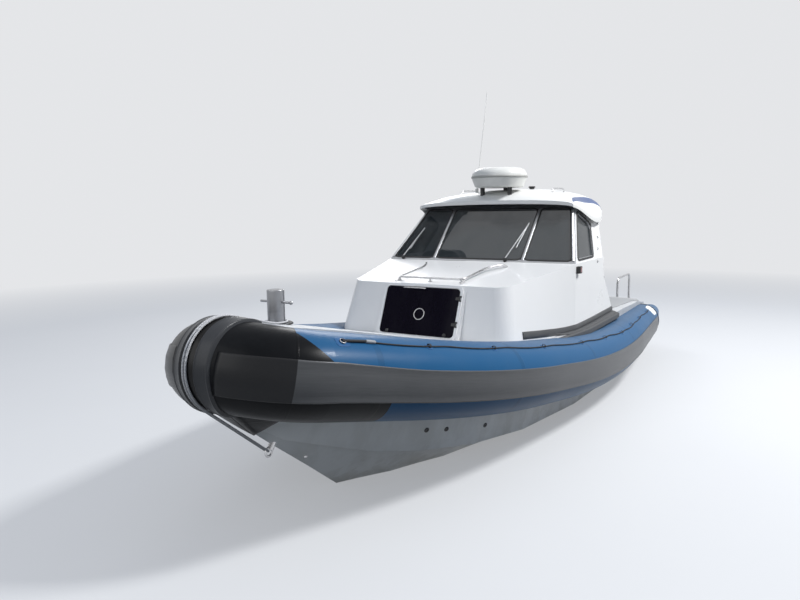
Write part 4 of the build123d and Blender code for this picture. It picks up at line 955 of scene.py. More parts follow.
def rounded_outline(corners: Array, radius: Number, steps: int = 7, most: float = 0.45) -> Array:
    """A closed path through corners, each rounded by a quadratic blend.

    Near a corner the path is (1 - t)^2 a + 2 t (1 - t) corner + t^2 b, with a
    and b on the two runs at the given distance from it.

    Args:
        corners: Points, n by 3.
        radius: Distance from a corner at which its bend starts.
        steps: Points in each bend.
        most: The largest share of a run that one bend may take.

    Returns:
        The path's points.
    """
    before, after = np.roll(corners, 1, 0), np.roll(corners, -1, 0)
    back, ahead = before - corners, after - corners
    reach_back = np.minimum(radius, np.linalg.norm(back, axis=1, keepdims=True) * most)
    reach_ahead = np.minimum(radius, np.linalg.norm(ahead, axis=1, keepdims=True) * most)
    a, b = corners + unit(back) * reach_back, corners + unit(ahead) * reach_ahead
    t = np.linspace(0, 1, steps)[None, :, None]
    bend = (1 - t) ** 2 * a[:, None] + 2 * t * (1 - t) * corners[:, None] + t**2 * b[:, None]
    return bend.reshape(-1, 3)


def evened(path: Array, step: Number) -> Array:
    """The same path at even spacing, straight between its points.

    Args:
        path: Points, n by 3.
        step: About how far apart the new points are.

    Returns:
        The new points.
    """
    run = length_along(path)
    at = np.linspace(0, run[-1], max(2, int(round(run[-1] / step)) + 1))
    return np.stack([np.interp(at, run, path[:, k]) for k in range(3)], 1)


def evened_rows(rows: Array, times: int = 12) -> Array:
    """Rows of vectors, blended with their neighbours.

    Each time v(i) becomes v(i - 1) / 4 + v(i) / 2 + v(i + 1) / 4, and the
    first and last row stay.

    Args:
        rows: The vectors, n by 3.
        times: How many times they are blended.

    Returns:
        The blended vectors.
    """
    for _ in range(times):
        rows = np.vstack([rows[:1], (rows[:-2] + 2 * rows[1:-1] + rows[2:]) / 4, rows[-1:]])
    return rows


def surface_of(node: str) -> BVHTree:
    """A search tree over a CAD node's faces."""
    mesh = frame["nodes"][node].data
    points = [vertex.co.copy() for vertex in mesh.vertices]
    return BVHTree.FromPolygons(points, [tuple(face.vertices) for face in mesh.polygons])


def seat_on(node: str, at: Sequence[float]) -> tuple[Array, Array]:
    """The nearest point of a CAD node's surface, and its outward normal."""
    spot, normal, _, _ = surface_of(node).find_nearest(Vector(at))
    return np.array(spot), np.array(normal)


def girdle(node: str, centre: tuple, up: float, reach: float, count: int = 96) -> Array:
    """A closed path round a CAD node at one height.

    From points on a circle of the given reach, rays run to the centre and
    stop at the node.

    Args:
        node: The node's name.
        centre: The axis's x and y.
        up: The height.
        reach: The circle's radius.
        count: Number of rays.

    Returns:
        The points where they stop.
    """
    tree = surface_of(node)
    points = []
    for a in np.linspace(0, 2 * np.pi, count, endpoint=False):
        start = Vector((centre[0] + reach * math.cos(a), centre[1] + reach * math.sin(a), up))
        hit = tree.ray_cast(start, Vector((centre[0], centre[1], up)) - start)[0]
        if hit is not None:
            points.append(tuple(hit))
    return np.array(points)


@dataclass
class Softened:
    """A CAD node's copy with its hard edges rolled over.

    Attributes:
        node: The CAD node that it stands for.
        width: How far each edge is rolled.
        segments: Facets in each roll.
        sharp: Edges under this angle, in degrees, are left smooth.
        shortest: Shorter edges aren't rolled.
        above: Edges that reach down to this height aren't rolled.
        merged: Points closer than this become one.
        flat: Faces that meet at less than this, in degrees, become one.
    """

    node: str
    finish: bpy.types.Material
    width: float
    segments: int
    sharp: float
    shortest: float
    above: float = -9.0
    body: str = "boat"
    merged: float = 2e-5
    flat: float = 0.6

    def build(self) -> bpy.types.Object:
        """Merges the copy's points, weighs its edges and adds the roll.

        Returns:
            The piece that replaces the node.
        """
        made = bmesh.new()
        made.from_mesh(frame["nodes"][self.node].data)
        bmesh.ops.remove_doubles(made, verts=made.verts, dist=self.merged)
        flat = math.radians(self.flat)
        bmesh.ops.dissolve_limit(made, angle_limit=flat, verts=made.verts, edges=made.edges)
        layer = made.edges.layers.float.new("bevel_weight_edge")
        for edge in made.edges:
            hard = len(edge.link_faces) == 2 and edge.calc_face_angle(0.0) > math.radians(self.sharp)
            high = min(v.co.z for v in edge.verts) > self.above
            if hard and high and edge.calc_length() >= self.shortest:
                edge[layer] = 1.0
            edge.smooth = not hard
        for face in made.faces:
            face.smooth = True
        mesh = bpy.data.meshes.new(f"{self.node}_skin")
        made.to_mesh(mesh)
        made.free()
        piece = place(f"{self.node}_skin", mesh, self.finish, self.body)
        roll = piece.modifiers.new("roll", "BEVEL")
        roll.limit_method, roll.width, roll.segments = "WEIGHT", self.width, self.segments
        roll.use_clamp_overlap, roll.harden_normals, roll.miter_outer = True, False, "MITER_ARC"
        normals = piece.modifiers.new("normals", "WEIGHTED_NORMAL")
        normals.keep_sharp = True
        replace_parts(piece, self.node)
        return piece


def dress(nodes: Iterable[str], finish: bpy.types.Material) -> None:
    """Gives CAD nodes a material.

    Args:
        nodes: The nodes' names.
        finish: The material.
    """
    for name in nodes:
        mesh = frame["nodes"][name].data
        mesh.materials.clear()
        mesh.materials.append(finish)


@dataclass
class Fitting:
    """A small round fitting turned from a profile, seated on a CAD node.

    Attributes:
        at: A point near the surface that carries it.
        node: The CAD node that carries it.
        profile: (radius, height) pairs over the surface, rising.
        count: Points round it.
    """

    name: str
    at: Sequence[float]
    node: str
    profile: tuple
    finish: bpy.types.Material
    body: str = "boat"
    count: int = 22

    def build(self) -> bpy.types.Object:
        """Seats the fitting on the nearest face, square to it.

        Returns:
            The fitting.
        """
        spot, normal = seat_on(self.node, self.at)
        grid = turned(self.profile, spot, normal, self.count)
        return hose(self.name, grid, self.finish, body=self.body).build()


# Sub-assemblies


@dataclass
class TubeRoute:
    """The port tube's centre line, as straight runs joined by arcs.

    Attributes:
        rows: Each corner's distance from the nose, distance out, height, and the share of the
            shorter run beside it that its arc takes.
        midship: The origin's distance from the nose.
        radius: The tube's radius before its tail.
        taper: Distances from the nose at which the tail's taper starts, bends and ends.
        taper_radius: The tube's radius there.
        step: About how far apart the line's samples are.
    """

    rows: tuple = (
        (0.305, 0.000, 1.165, 0.0),
        (0.420, 0.320, 1.110, 0.80),
        (2.100, 0.940, 0.760, 0.45),
        (4.350, 1.190, 0.470, 0.90),
        (7.020, 1.110, 0.500, 0.0),
    )
    midship: float = 4.0
    radius: float = 0.288
    taper: tuple = (5.5, 7.02, 7.85)
    taper_radius: tuple = (0.288, 0.236, 0.118)
    step: float = 0.03

    def __post_init__(self) -> None:
        """Samples the line evenly and finds its frame at each sample."""
        knots = np.array([(out, aft - self.midship, up) for aft, out, up, _ in self.rows])
        last = unit(knots[4] - knots[3])
        knots[4] = knots[3] + last * (self.taper[0] - self.rows[3][0]) / last[1]
        tip = knots[3] + last * (self.taper[2] - self.rows[3][0]) / last[1]
        bends = [self._arc(knots[i - 1], knots[i], knots[i + 1], self.rows[i][3]) for i in (1, 2, 3)]
        self.path = evened(np.vstack([knots[:1], *bends, tip[None]]), self.step)
        self.run = length_along(self.path)
        self.tangent = unit(np.gradient(self.path, axis=0))
        self.outboard = unit(np.cross(self.tangent, (0.0, 0.0, 1.0)))
        self.up = np.cross(self.outboard, self.tangent)
        self.size = np.interp(self.path[:, 1] + self.midship, self.taper, self.taper_radius)

    def _arc(self, before: Array, corner: Array, after: Array, share: float) -> Array:
        """The arc tangent to both runs at a corner.

        A point is the arc's centre plus (sin((1 - t) a) p + sin(t a) q) / sin(a),
        with p and q from the centre to the arc's ends and a the angle between.

        Args:
            before: The corner before it.
            corner: The corner.
            after: The corner after it.
            share: The share of the shorter run that the arc takes.

        Returns:
            The arc's points.
        """
        back, ahead = before - corner, after - corner
        reach = share * min(np.linalg.norm(back), np.linalg.norm(ahead))
        back, ahead = unit(back), unit(ahead)
        turn = np.pi - np.arccos(back @ ahead)
        centre = corner + unit(back + ahead) * reach / np.tan(turn / 2) / np.cos(turn / 2)
        first, second = corner + back * reach - centre, corner + ahead * reach - centre
        t = np.linspace(0, 1, 40)[:, None]
        return centre + (np.sin((1 - t) * turn) * first + np.sin(t * turn) * second) / np.sin(turn)

    def _read(self, line: Array, run: Array) -> Array:
        """A sampled line's vectors at some runs, straight between its samples."""
        return np.stack([np.interp(run, self.run, line[:, k]) for k in range(3)], -1)

    def at(self, run: Array, turn: Array, lift: Array = 0.0) -> Array:
        """Points on the tube.

        The point is the centre line's at that run, plus the tube's radius and
        the lift times the outboard vector turned by that angle about it.

        Args:
            run: Metres along the centre line from the nose.
            turn: Degrees above the outboard side.
            lift: Height over the fabric.

        Returns:
            Points of the arguments' common shape.
        """
        run, turn, lift = np.broadcast_arrays(np.asarray(run, float), np.radians(turn), lift)
        outboard, up = unit(self._read(self.outboard, run)), unit(self._read(self.up, run))
        reach = (np.interp(run, self.run, self.size) + lift)[..., None]
        spoke = np.cos(turn)[..., None] * outboard + np.sin(turn)[..., None] * up
        return self._read(self.path, run) + reach * spoke


@dataclass
class Tubes:
    """Inflatable tubes, wear bands, bow guard and what is glued on them.

    Runs are metres along the centre line from the nose, and turns are
    degrees above the outboard side.

    Attributes:
        seam: The run at which the nose meets a side tube.
        around: Points round the tube.
        first_turn: The turn of the first of them.
        tail_closing: Sizes of the rings that round off the tail's tip.
        square_run: The run over which the nose's rings go from cut square to round.
        band_end: The run at which a wear band ends.
        band_half: Half its width in degrees.
        band_lift: Its full height.
        band_half_section: From its middle out, shares of its half width and of its height.
        band_climb: Runs, and how many degrees the band's upper edge stands higher there.
        sunk: The height of edges that are hidden in the fabric.
        guard_half: Half the bow guard's width.
        guard_groove: Half the groove's width.
        guard_narrowing: How much narrower the guard's half is under the nose.
        guard_narrow: Degrees below the nose's front at which that starts, and over which it goes on.
        guard_height: The groove's height, and how much the straps rise over it.
        guard_turns: Turns at which the guard starts and ends.
        grips: The run of each grip patch.
        grip_turns: Its turn.
        first_patch: Half the length and width of the first patch.
        patch: The same for the others.
        patch_section: From a patch's edge in, shares of its size and of its height.
        patch_lift: A grip patch's height.
        webbing_half: Half the webbing's width and thickness.
        loop_half: Half a loop's foot.
        loop_height: Its height at its feet, and how much it rises from there.
        ring_at: Run and turn of the ring on the first patch.
        ring_radius: The ring's radius.
        ring_wire: The radius of its wire.
        strop: The runs between which the strop lies.
        strop_slope: Two runs, and the turns that it follows there.
        strop_radius: Its radius where it is thinnest.
        strop_swell: How much thicker it is where it swells, as a share.
        sleeve: The runs between which the grey sleeve lies.
        sleeve_slope: Two runs, and the turns that it follows there.
        sleeve_radius: Its radius.
        apron: The flap's corners at the stem, on the nose and on the side tube.
        apron_swell: How far its middle stands out.
        apron_wall: Its thickness.
        stem_gap: How far the flap is held ahead of the stem.
        tail_patch_at: Run and turn of the white patch.
        tail_patch_half: Half its length and width.
        tail_ring: The run of the tail's rubber ring.
        tail_ring_section: Runs from its middle, and heights.
    """

    route: TubeRoute = field(default_factory=TubeRoute)
    seam: float = 0.56
    around: int = 72
    first_turn: float = -160.0
    tail_closing: tuple = (0.93, 0.80, 0.5)
    square_run: float = 0.30
    band_end: float = 7.06
    band_half: float = 22.0
    band_lift: float = 0.0128
    band_half_section: tuple = (
        (0.0, 0.84), (0.5, 0.84), (0.88, 0.86), (0.90, 1.0),
        (0.95, 1.0), (0.985, 0.9), (1.0, 0.5), (1.0, -0.3),
    )
    band_climb: tuple = ((0.0, 9.0), (0.30, 9.0), (0.45, 7.0), (0.75, 3.5), (1.30, 0.0), (8.0, 0.0))
    sunk: float = -0.002
    guard_half: float = 0.142
    guard_groove: float = 0.054
    guard_narrowing: float = 0.068
    guard_narrow: tuple = (8.0, 92.0)
    guard_height: tuple = (0.0025, 0.0150)
    guard_turns: tuple = (-128.0, 116.0)
    grips: tuple = (0.64, 1.365, 2.065, 2.825, 3.645, 4.325, 4.905, 5.445, 6.025, 6.625)
    grip_turns: tuple = (58.0, 60.5, 61.5, 61.5, 60.5, 59.0, 53.5, 55.5, 55.5, 55.0)
    first_patch: tuple = (0.050, 0.042)
    patch: tuple = (0.026, 0.030)
    patch_section: tuple = (
        (1.0, -0.3), (1.0, 0.6), (0.97, 0.95), (0.9, 1.0),
        (0.6, 1.0), (0.3, 1.0), (0.02, 1.0),
    )
    patch_lift: float = 0.0022
    webbing_half: tuple = (0.011, 0.0014)
    loop_half: float = 0.016
    loop_height: tuple = (0.003, 0.017)
    ring_at: tuple = (0.640, 58.0)
    ring_radius: float = 0.019
    ring_wire: float = 0.0032
    strop: tuple = (0.655, 0.830)
    strop_slope: tuple = ((0.64, 0.83), (58.0, 60.0))
    strop_radius: float = 0.0085
    strop_swell: float = 0.16
    sleeve: tuple = (0.815, 0.895)
    sleeve_slope: tuple = ((0.80, 0.95), (60.0, 59.4))
    sleeve_radius: float = 0.0125
    apron: tuple = ((0.0, -3.476, 0.646), (0.0, -3.705, 0.862), (0.372, -3.612, 0.850))
    apron_swell: float = 0.010
    apron_wall: float = 0.003
    stem_gap: float = 0.005
    tail_patch_at: tuple = (6.98, 50.0)
    tail_patch_half: tuple = (0.140, 0.100)
    tail_ring: float = 7.18
    tail_ring_section: tuple = (
        (-0.022, -0.002), (-0.022, 0.004), (-0.018, 0.007), (0.0, 0.008),
        (0.018, 0.007), (0.022, 0.004), (0.022, -0.002),
    )

    def build(self) -> None:
        """Builds the nose, what each side has, and the bow guard."""
        self._nose()
        for side in Side:
            self._tube(side)
            self._band(side)
            self._grips(side)
            self._strop(side)
            self._apron(side)
            self._end(side)
        self._guard()

    def _turns(self) -> Array:
        """Angles of the rings' points, in degrees."""
        return np.linspace(self.first_turn, self.first_turn + 360, self.around, endpoint=False)

    def _tube(self, side: Side) -> None:
        """One side tube: rings from the seam to the tip, with a rounded end.

        Args:
            side: The side that it is on.
        """
        tip = self.route.run[-1]
        runs = np.concatenate([np.arange(self.seam, tip - 0.02, 0.06), [tip]])
        run, turn = np.meshgrid(runs, self._turns(), indexing="ij")
        grid = self.route.at(run, turn)
        end = grid[-1].mean(axis=0)
        closing = np.array(self.tail_closing)[:, None, None]
        grid = np.vstack([grid, end + (grid[-1] - end) * closing])
        uv = np.stack([run, turn / 360.0], -1)
        uv = np.vstack([uv, np.repeat(uv[-1:], len(self.tail_closing), 0)])
        name = f"tube_{side.label}"
        flip = side is Side.STARBOARD
        skin = hose(f"{name}_skin", side.laid(grid), FINISH["tube_split"], uv, flip=flip)
        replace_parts(skin.build(), name)

    def _nose(self) -> None:
        """The nose: port rings cut square at the centre plane, and their mirror images."""
        turns = self._turns()
        runs = np.concatenate([np.linspace(0.0, self.square_run, 8), np.linspace(0.34, self.seam, 6)])
        run, turn = np.meshgrid(runs, turns, indexing="ij")
        grid = self.route.at(run, turn)
        first = unit(self.route.path[1] - self.route.path[0])
        flat = self.route.at(np.zeros_like(turns), turns)
        shift = -flat[:, 0] / first[0]
        blend = np.clip(1 - run / self.square_run, 0, 1)[..., None]
        grid = grid + first * (shift[None, :, None] * blend)
        uv = np.stack([run, turn / 360.0], -1)
        both = np.vstack([Side.STARBOARD.laid(grid[:0:-1]), grid])
        uv = np.vstack([uv[:0:-1], uv])
        skin = hose("tube_bow_skin", both, FINISH["tube_split"], uv)
        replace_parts(skin.build(), "tube_bow")

    def _band(self, side: Side) -> None:
        """A wear band: a flat-topped profile laid over the tube, thinned towards both its ends.

        Args:
            side: The side that it is on.
        """
        starting, stopping = [0.06, 0.0605], [self.band_end - 0.0005, self.band_end]
        ahead, aft = np.arange(0.09, 0.54, 0.03), np.arange(0.60, self.band_end, 0.05)
        runs = np.concatenate([starting, ahead, [self.seam], aft, stopping])
        half = np.array(self.band_half_section)
        share, lift = np.vstack([half[:0:-1] * (-1, 1), half]).T
        climb = smooth_between(*zip(*self.band_climb), runs)[:, None]
        turn = share * self.band_half + climb * np.clip(share, 0, 1)
        run = np.broadcast_to(runs[:, None], turn.shape)
        thin_aft = np.clip((self.band_end - runs) / 0.10, 0.05, 1.0)
        thin_ahead = np.clip(0.35 + (runs - 0.20) / 0.46, 0.35, 1.0)
        rise = lift * self.band_lift * (thin_aft * thin_ahead)[:, None]
        rise[[0, -1]] = self.sunk
        grid = side.laid(self.route.at(run, turn, rise))
        uv = np.stack([run, turn / 360.0], -1)
        name = f"band_{side.label}_skin"
        skin = Sheet(name, grid, FINISH["band"], route=uv, flip=side is Side.STARBOARD)
        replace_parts(skin.build(), f"rub_band_{side.label}")

    def _guard(self) -> None:
        """The bow guard: two padded straps and a groove, wrapped round the nose.

        At each distance x from the centre plane its ring is the nose tube's
        own section grown by the strap's height there. Below the nose the
        straps narrow to a point by a smooth step of the angle. A strap is
        crowned by a parabola across it, with a bead near each edge.
        """
        share = np.linspace(-1, 1, 81)[None]
        turns = np.linspace(*self.guard_turns, 120)[:, None]
        narrow = np.clip((-turns - self.guard_narrow[0]) / self.guard_narrow[1], 0, 1)
        half = self.guard_half - self.guard_narrowing * narrow**2 * (3 - 2 * narrow)
        inner, groove_share = self.guard_groove, 0.25
        spread = np.abs(share)
        on_strap = inner + (spread - groove_share) / (1 - groove_share) * (half - inner)
        off = np.where(spread < groove_share, spread / groove_share * inner, on_strap)
        middle, width = (half + inner) / 2, (half - inner) / 2
        inner_edge = np.clip((off - inner) / 0.0035, 0, 1) ** 0.6
        outer_edge = np.clip((half - off) / 0.005, 0, 1) ** 0.6
        beads = np.exp(-(((np.abs(off - middle) - width + 0.007) / 0.004) ** 2)) * 0.16
        crown = 1 - 0.22 * (1 - ((off - middle) / width) ** 2) + beads
        pad = self.guard_height[0] + self.guard_height[1] * (inner_edge * outer_edge) * crown
        lift = np.where(spread >= 0.999, self.sunk, pad)
        first = unit(self.route.path[1] - self.route.path[0])
        angle = np.radians(turns)[..., None]
        radial = np.cos(angle) * self.route.outboard[0] + np.sin(angle) * self.route.up[0]
        start = self.route.path[0] + radial * (self.route.radius + lift[..., None])
        reach = (off - start[..., 0]) / first[0]
        grid = start + first * reach[..., None]
        grid[..., 0] = np.where(share < 0, -grid[..., 0], grid[..., 0])
        round_nose = np.radians(turns) * self.route.radius
        uv = np.stack(np.broadcast_arrays(round_nose, np.sign(share) * off), -1)
        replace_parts(Sheet("bow_guard_skin", grid, FINISH["guard"], route=uv).build(), "bow_guard")

    def _apron(self, side: Side) -> None:
        """The black fabric flap glued from the tube's underside down to the stem.

        A point is s(1 - t) a + (1 - s)(1 - t) b + t c of the flap's three
        corners, raised by a small swell in the middle, and held ahead of the
        stem where that is further forward.

        Args:
            side: The side that it is on.
        """
        low, ahead, back = (np.array(corner) for corner in self.apron)
        s = np.linspace(0, 1, 17)[None, :, None]
        t = np.linspace(0, 1, 15)[:, None, None]
        flat = (1 - t) * ((1 - s) * ahead + s * back) + t * low
        normal = unit(np.cross(back - ahead, low - ahead))
        normal = normal * -np.sign(normal[1])
        swell = s * (1 - s) * 4 * (1 - t) * t * 4
        grid = flat + normal * (self.apron_swell * swell)
        stem = surface_of("hull")
        for index in np.ndindex(grid.shape[:2]):
            x, y, z = grid[index]
            met = stem.ray_cast(Vector((x, -5.0, z)), Vector((0, 1, 0)))[0]
            grid[index][1] = y if met is None else min(y, met.y - self.stem_gap)
        uv = np.stack(np.broadcast_arrays(flat[..., 1] + self.route.midship, s[..., 0]), -1)
        flap = Sheet(f"apron_{side.label}", side.laid(grid), FINISH["apron"], route=uv)
        flap.flip, flap.thickness = side is Side.STARBOARD, self.apron_wall
        flap.build()

    def _patch(self, name: str, side: Side, at: tuple, half: tuple, lift: float, finish: Any) -> None:
        """A glued patch: a rounded square of polar rings laid on the fabric.

        A ring's reach at angle a is (|cos a|^4 + |sin a|^4)^(-1/4), a squircle.

        Args:
            name: The piece's name.
            side: The side that it is on.
            at: Run and turn of its middle.
            half: Half its length and width.
            lift: Its height.
            finish: Its material.
        """
        a = np.linspace(0, 2 * np.pi, 40, endpoint=False)
        squircle = (np.abs(np.cos(a)) ** 4 + np.abs(np.sin(a)) ** 4) ** -0.25
        scale, rise = np.array(self.patch_section).T[..., None]
        runs = at[0] + scale * squircle * np.cos(a) * half[0]
        turns = at[1] + np.degrees(scale * squircle * np.sin(a) * half[1] / self.route.radius)
        grid = side.laid(self.route.at(runs, turns, rise * lift))
        uv = np.stack([runs, turns / 360.0], -1)
        Sheet(name, grid, finish, loop_columns=True, route=uv, flip=side is Side.PORT).build()

    def _grips(self, side: Side) -> None:
        """The grab line's patches, and a loop of webbing on each.

        A loop is a flat oval carried over half a turn.

        Args:
            side: The side that they are on.
        """
        a = np.linspace(0, np.pi, 15)
        webbing = ring(1.0, 8) * np.array(self.webbing_half)
        for index, (run, middle) in enumerate(zip(self.grips, self.grip_turns)):
            tag = f"{side.label}_{index}"
            half = self.first_patch if index == 0 else self.patch
            finish = FINISH["tube_patch"]
            self._patch(f"grip_patch_{tag}", side, (run, middle), half, self.patch_lift, finish)
            turns = middle + np.degrees(self.loop_half * np.cos(a) / self.route.radius)
            lift = self.loop_height[0] + self.loop_height[1] * np.sin(a) ** 0.8
            loop = self.route.at(np.full_like(a, run), turns, lift)
            away = self.route.at(run, middle, 0.1) - self.route.at(run, middle)
            grid, uv = carried(loop, webbing, away)
            flip = side is Side.STARBOARD
            hose(f"grip_loop_{tag}", side.laid(grid), FINISH["webbing"], uv, flip=flip).build()

    def _strop(self, side: Side) -> None:
        """A ring on the first patch, a braided strop behind it and a sleeve on the grab line's end.

        The strop is round, and swells nine times along it by the size of a
        sine. The sleeve draws in at both its ends.

        Args:
            side: The side that they are on.
        """
        run, turn = self.ring_at
        a = np.linspace(0, 2 * np.pi, 28, endpoint=False)
        runs = run + self.ring_radius * np.cos(a)
        turns = turn + np.degrees(self.ring_radius * np.sin(a) / self.route.radius)
        loop = side.laid(self.route.at(runs, turns, 0.009))
        away = side.laid(self.route.at(0.8, 60.0, 0.1) - self.route.at(0.8, 60.0))
        grid, uv = carried(loop, ring(self.ring_wire, 8), away, closed=True)
        name = f"grip_ring_{side.label}"
        Sheet(name, grid, FINISH["steel"], loop_rows=True, loop_columns=True, route=uv).build()
        runs = np.linspace(*self.strop, 36)
        swelling = 1 + self.strop_swell * np.abs(np.sin(np.linspace(0, 9 * np.pi, 36)))
        line = side.laid(self.route.at(runs, np.interp(runs, *self.strop_slope), 0.010))
        grid, uv = carried(line, ring(self.strop_radius, 12)[None] * swelling[:, None, None], away)
        hose(f"grip_strop_{side.label}", grid, FINISH["rope_black"], uv).build()
        runs = np.linspace(*self.sleeve, 9)
        line = side.laid(self.route.at(runs, np.interp(runs, *self.sleeve_slope), 0.009))
        grid, uv = carried(line, ring(self.sleeve_radius, 14), away)
        ends = line[[0, -1], None]
        grid[[0, -1]] = ends + (grid[[0, -1]] - ends) * 0.7
        hose(f"grip_sleeve_{side.label}", grid, FINISH["sleeve"], uv).build()

    def _end(self, side: Side) -> None:
        """A bare white patch on the tube's tail, and a rubber ring round its end cone.

        Args:
            side: The side that they are on.
        """
        name, half = f"tail_patch_{side.label}", self.tail_patch_half
        self._patch(name, side, self.tail_patch_at, half, 0.003, FINISH["tread"])
        along, lift = np.array(self.tail_ring_section).T
        run, turn = np.meshgrid(self.tail_ring + along, self._turns(), indexing="ij")
        grid = side.laid(self.route.at(run, turn, lift[:, None]))
        uv = np.stack([run, turn / 360.0], -1)
        name, flip = f"tail_ring_{side.label}", side is Side.STARBOARD
        Sheet(name, grid, FINISH["rubber"], loop_columns=True, route=uv, flip=flip).build()


@dataclass
class Hull:
    """Hull, foredeck, cockpit, coamings and what is bolted to them.

    Attributes:
        outlets: A point near each drain outlet's seat.
        outlet_profile: An outlet's (radius, height) pairs.
        stem_fitting: A point near the stem fitting's seat.
        stem_profile: The stem fitting's (radius, height) pairs.
        collar: The post's sealing ring, as (radius, height) pairs.
        collar_shift: How far to starboard of the middle of the post's box it stands.
    """

    outlets: tuple = ((0.596, -2.237, 0.411), (0.664, -2.039, 0.371), (0.800, -1.600, 0.297))
    outlet_profile: tuple = (
        (0.021, -0.002), (0.021, 0.004), (0.018, 0.007),
        (0.012, 0.007), (0.011, 0.001), (0.0, 0.001),
    )
    stem_fitting: tuple = (0.05, -3.02, 0.35)
    stem_profile: tuple = ((0.014, -0.002), (0.014, 0.004), (0.011, 0.008), (0.004, 0.010), (0.0, 0.010))
    collar: tuple = ((0.098, 0.0), (0.098, 0.006), (0.090, 0.012), (0.062, 0.014))
    collar_shift: float = 0.0065

    def build(self) -> None:
        """Rolls the mouldings' edges and dresses the bright work."""
        Softened("hull", FINISH["hull"], 0.006, 2, 30, 0.02).build()
        Softened("deck", FINISH["deck"], 0.008, 3, 25, 0.02).build()
        for side in Side:
            Softened(f"coaming_{side.label}", FINISH["coaming"], 0.010, 3, 30, 0.02).build()
            Softened(f"side_strip_{side.label}", FINISH["strip"], 0.004, 2, 30, 0.0).build()
        dress(("stern_hoops", "bow_eye"), FINISH["steel"])
        dress(("samson_post",), FINISH["post"])
        dress(("painter",), FINISH["rope_grey"])
        dress(("grab_line_port", "grab_line_starboard"), FINISH["rope_black"])
        for index, at in enumerate(self.outlets):
            Fitting(f"outlet_{index}", at, "hull", self.outlet_profile, FINISH["black"]).build()
        Fitting("stem_fitting", self.stem_fitting, "hull", self.stem_profile, FINISH["steel"]).build()
        self._post_collar()

    def _post_collar(self) -> None:
        """A dark sealing ring round the post's foot."""
        low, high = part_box("samson_post")
        middle = ((low[0] + high[0]) / 2 - self.collar_shift, (low[1] + high[1]) / 2)
        spot, _ = seat_on("deck", (*middle, low[2]))
        grid = turned(self.collar, spot, (0.0, 0.0, 1.0), 40)
        hose("post_collar", grid, FINISH["rubber"]).build()


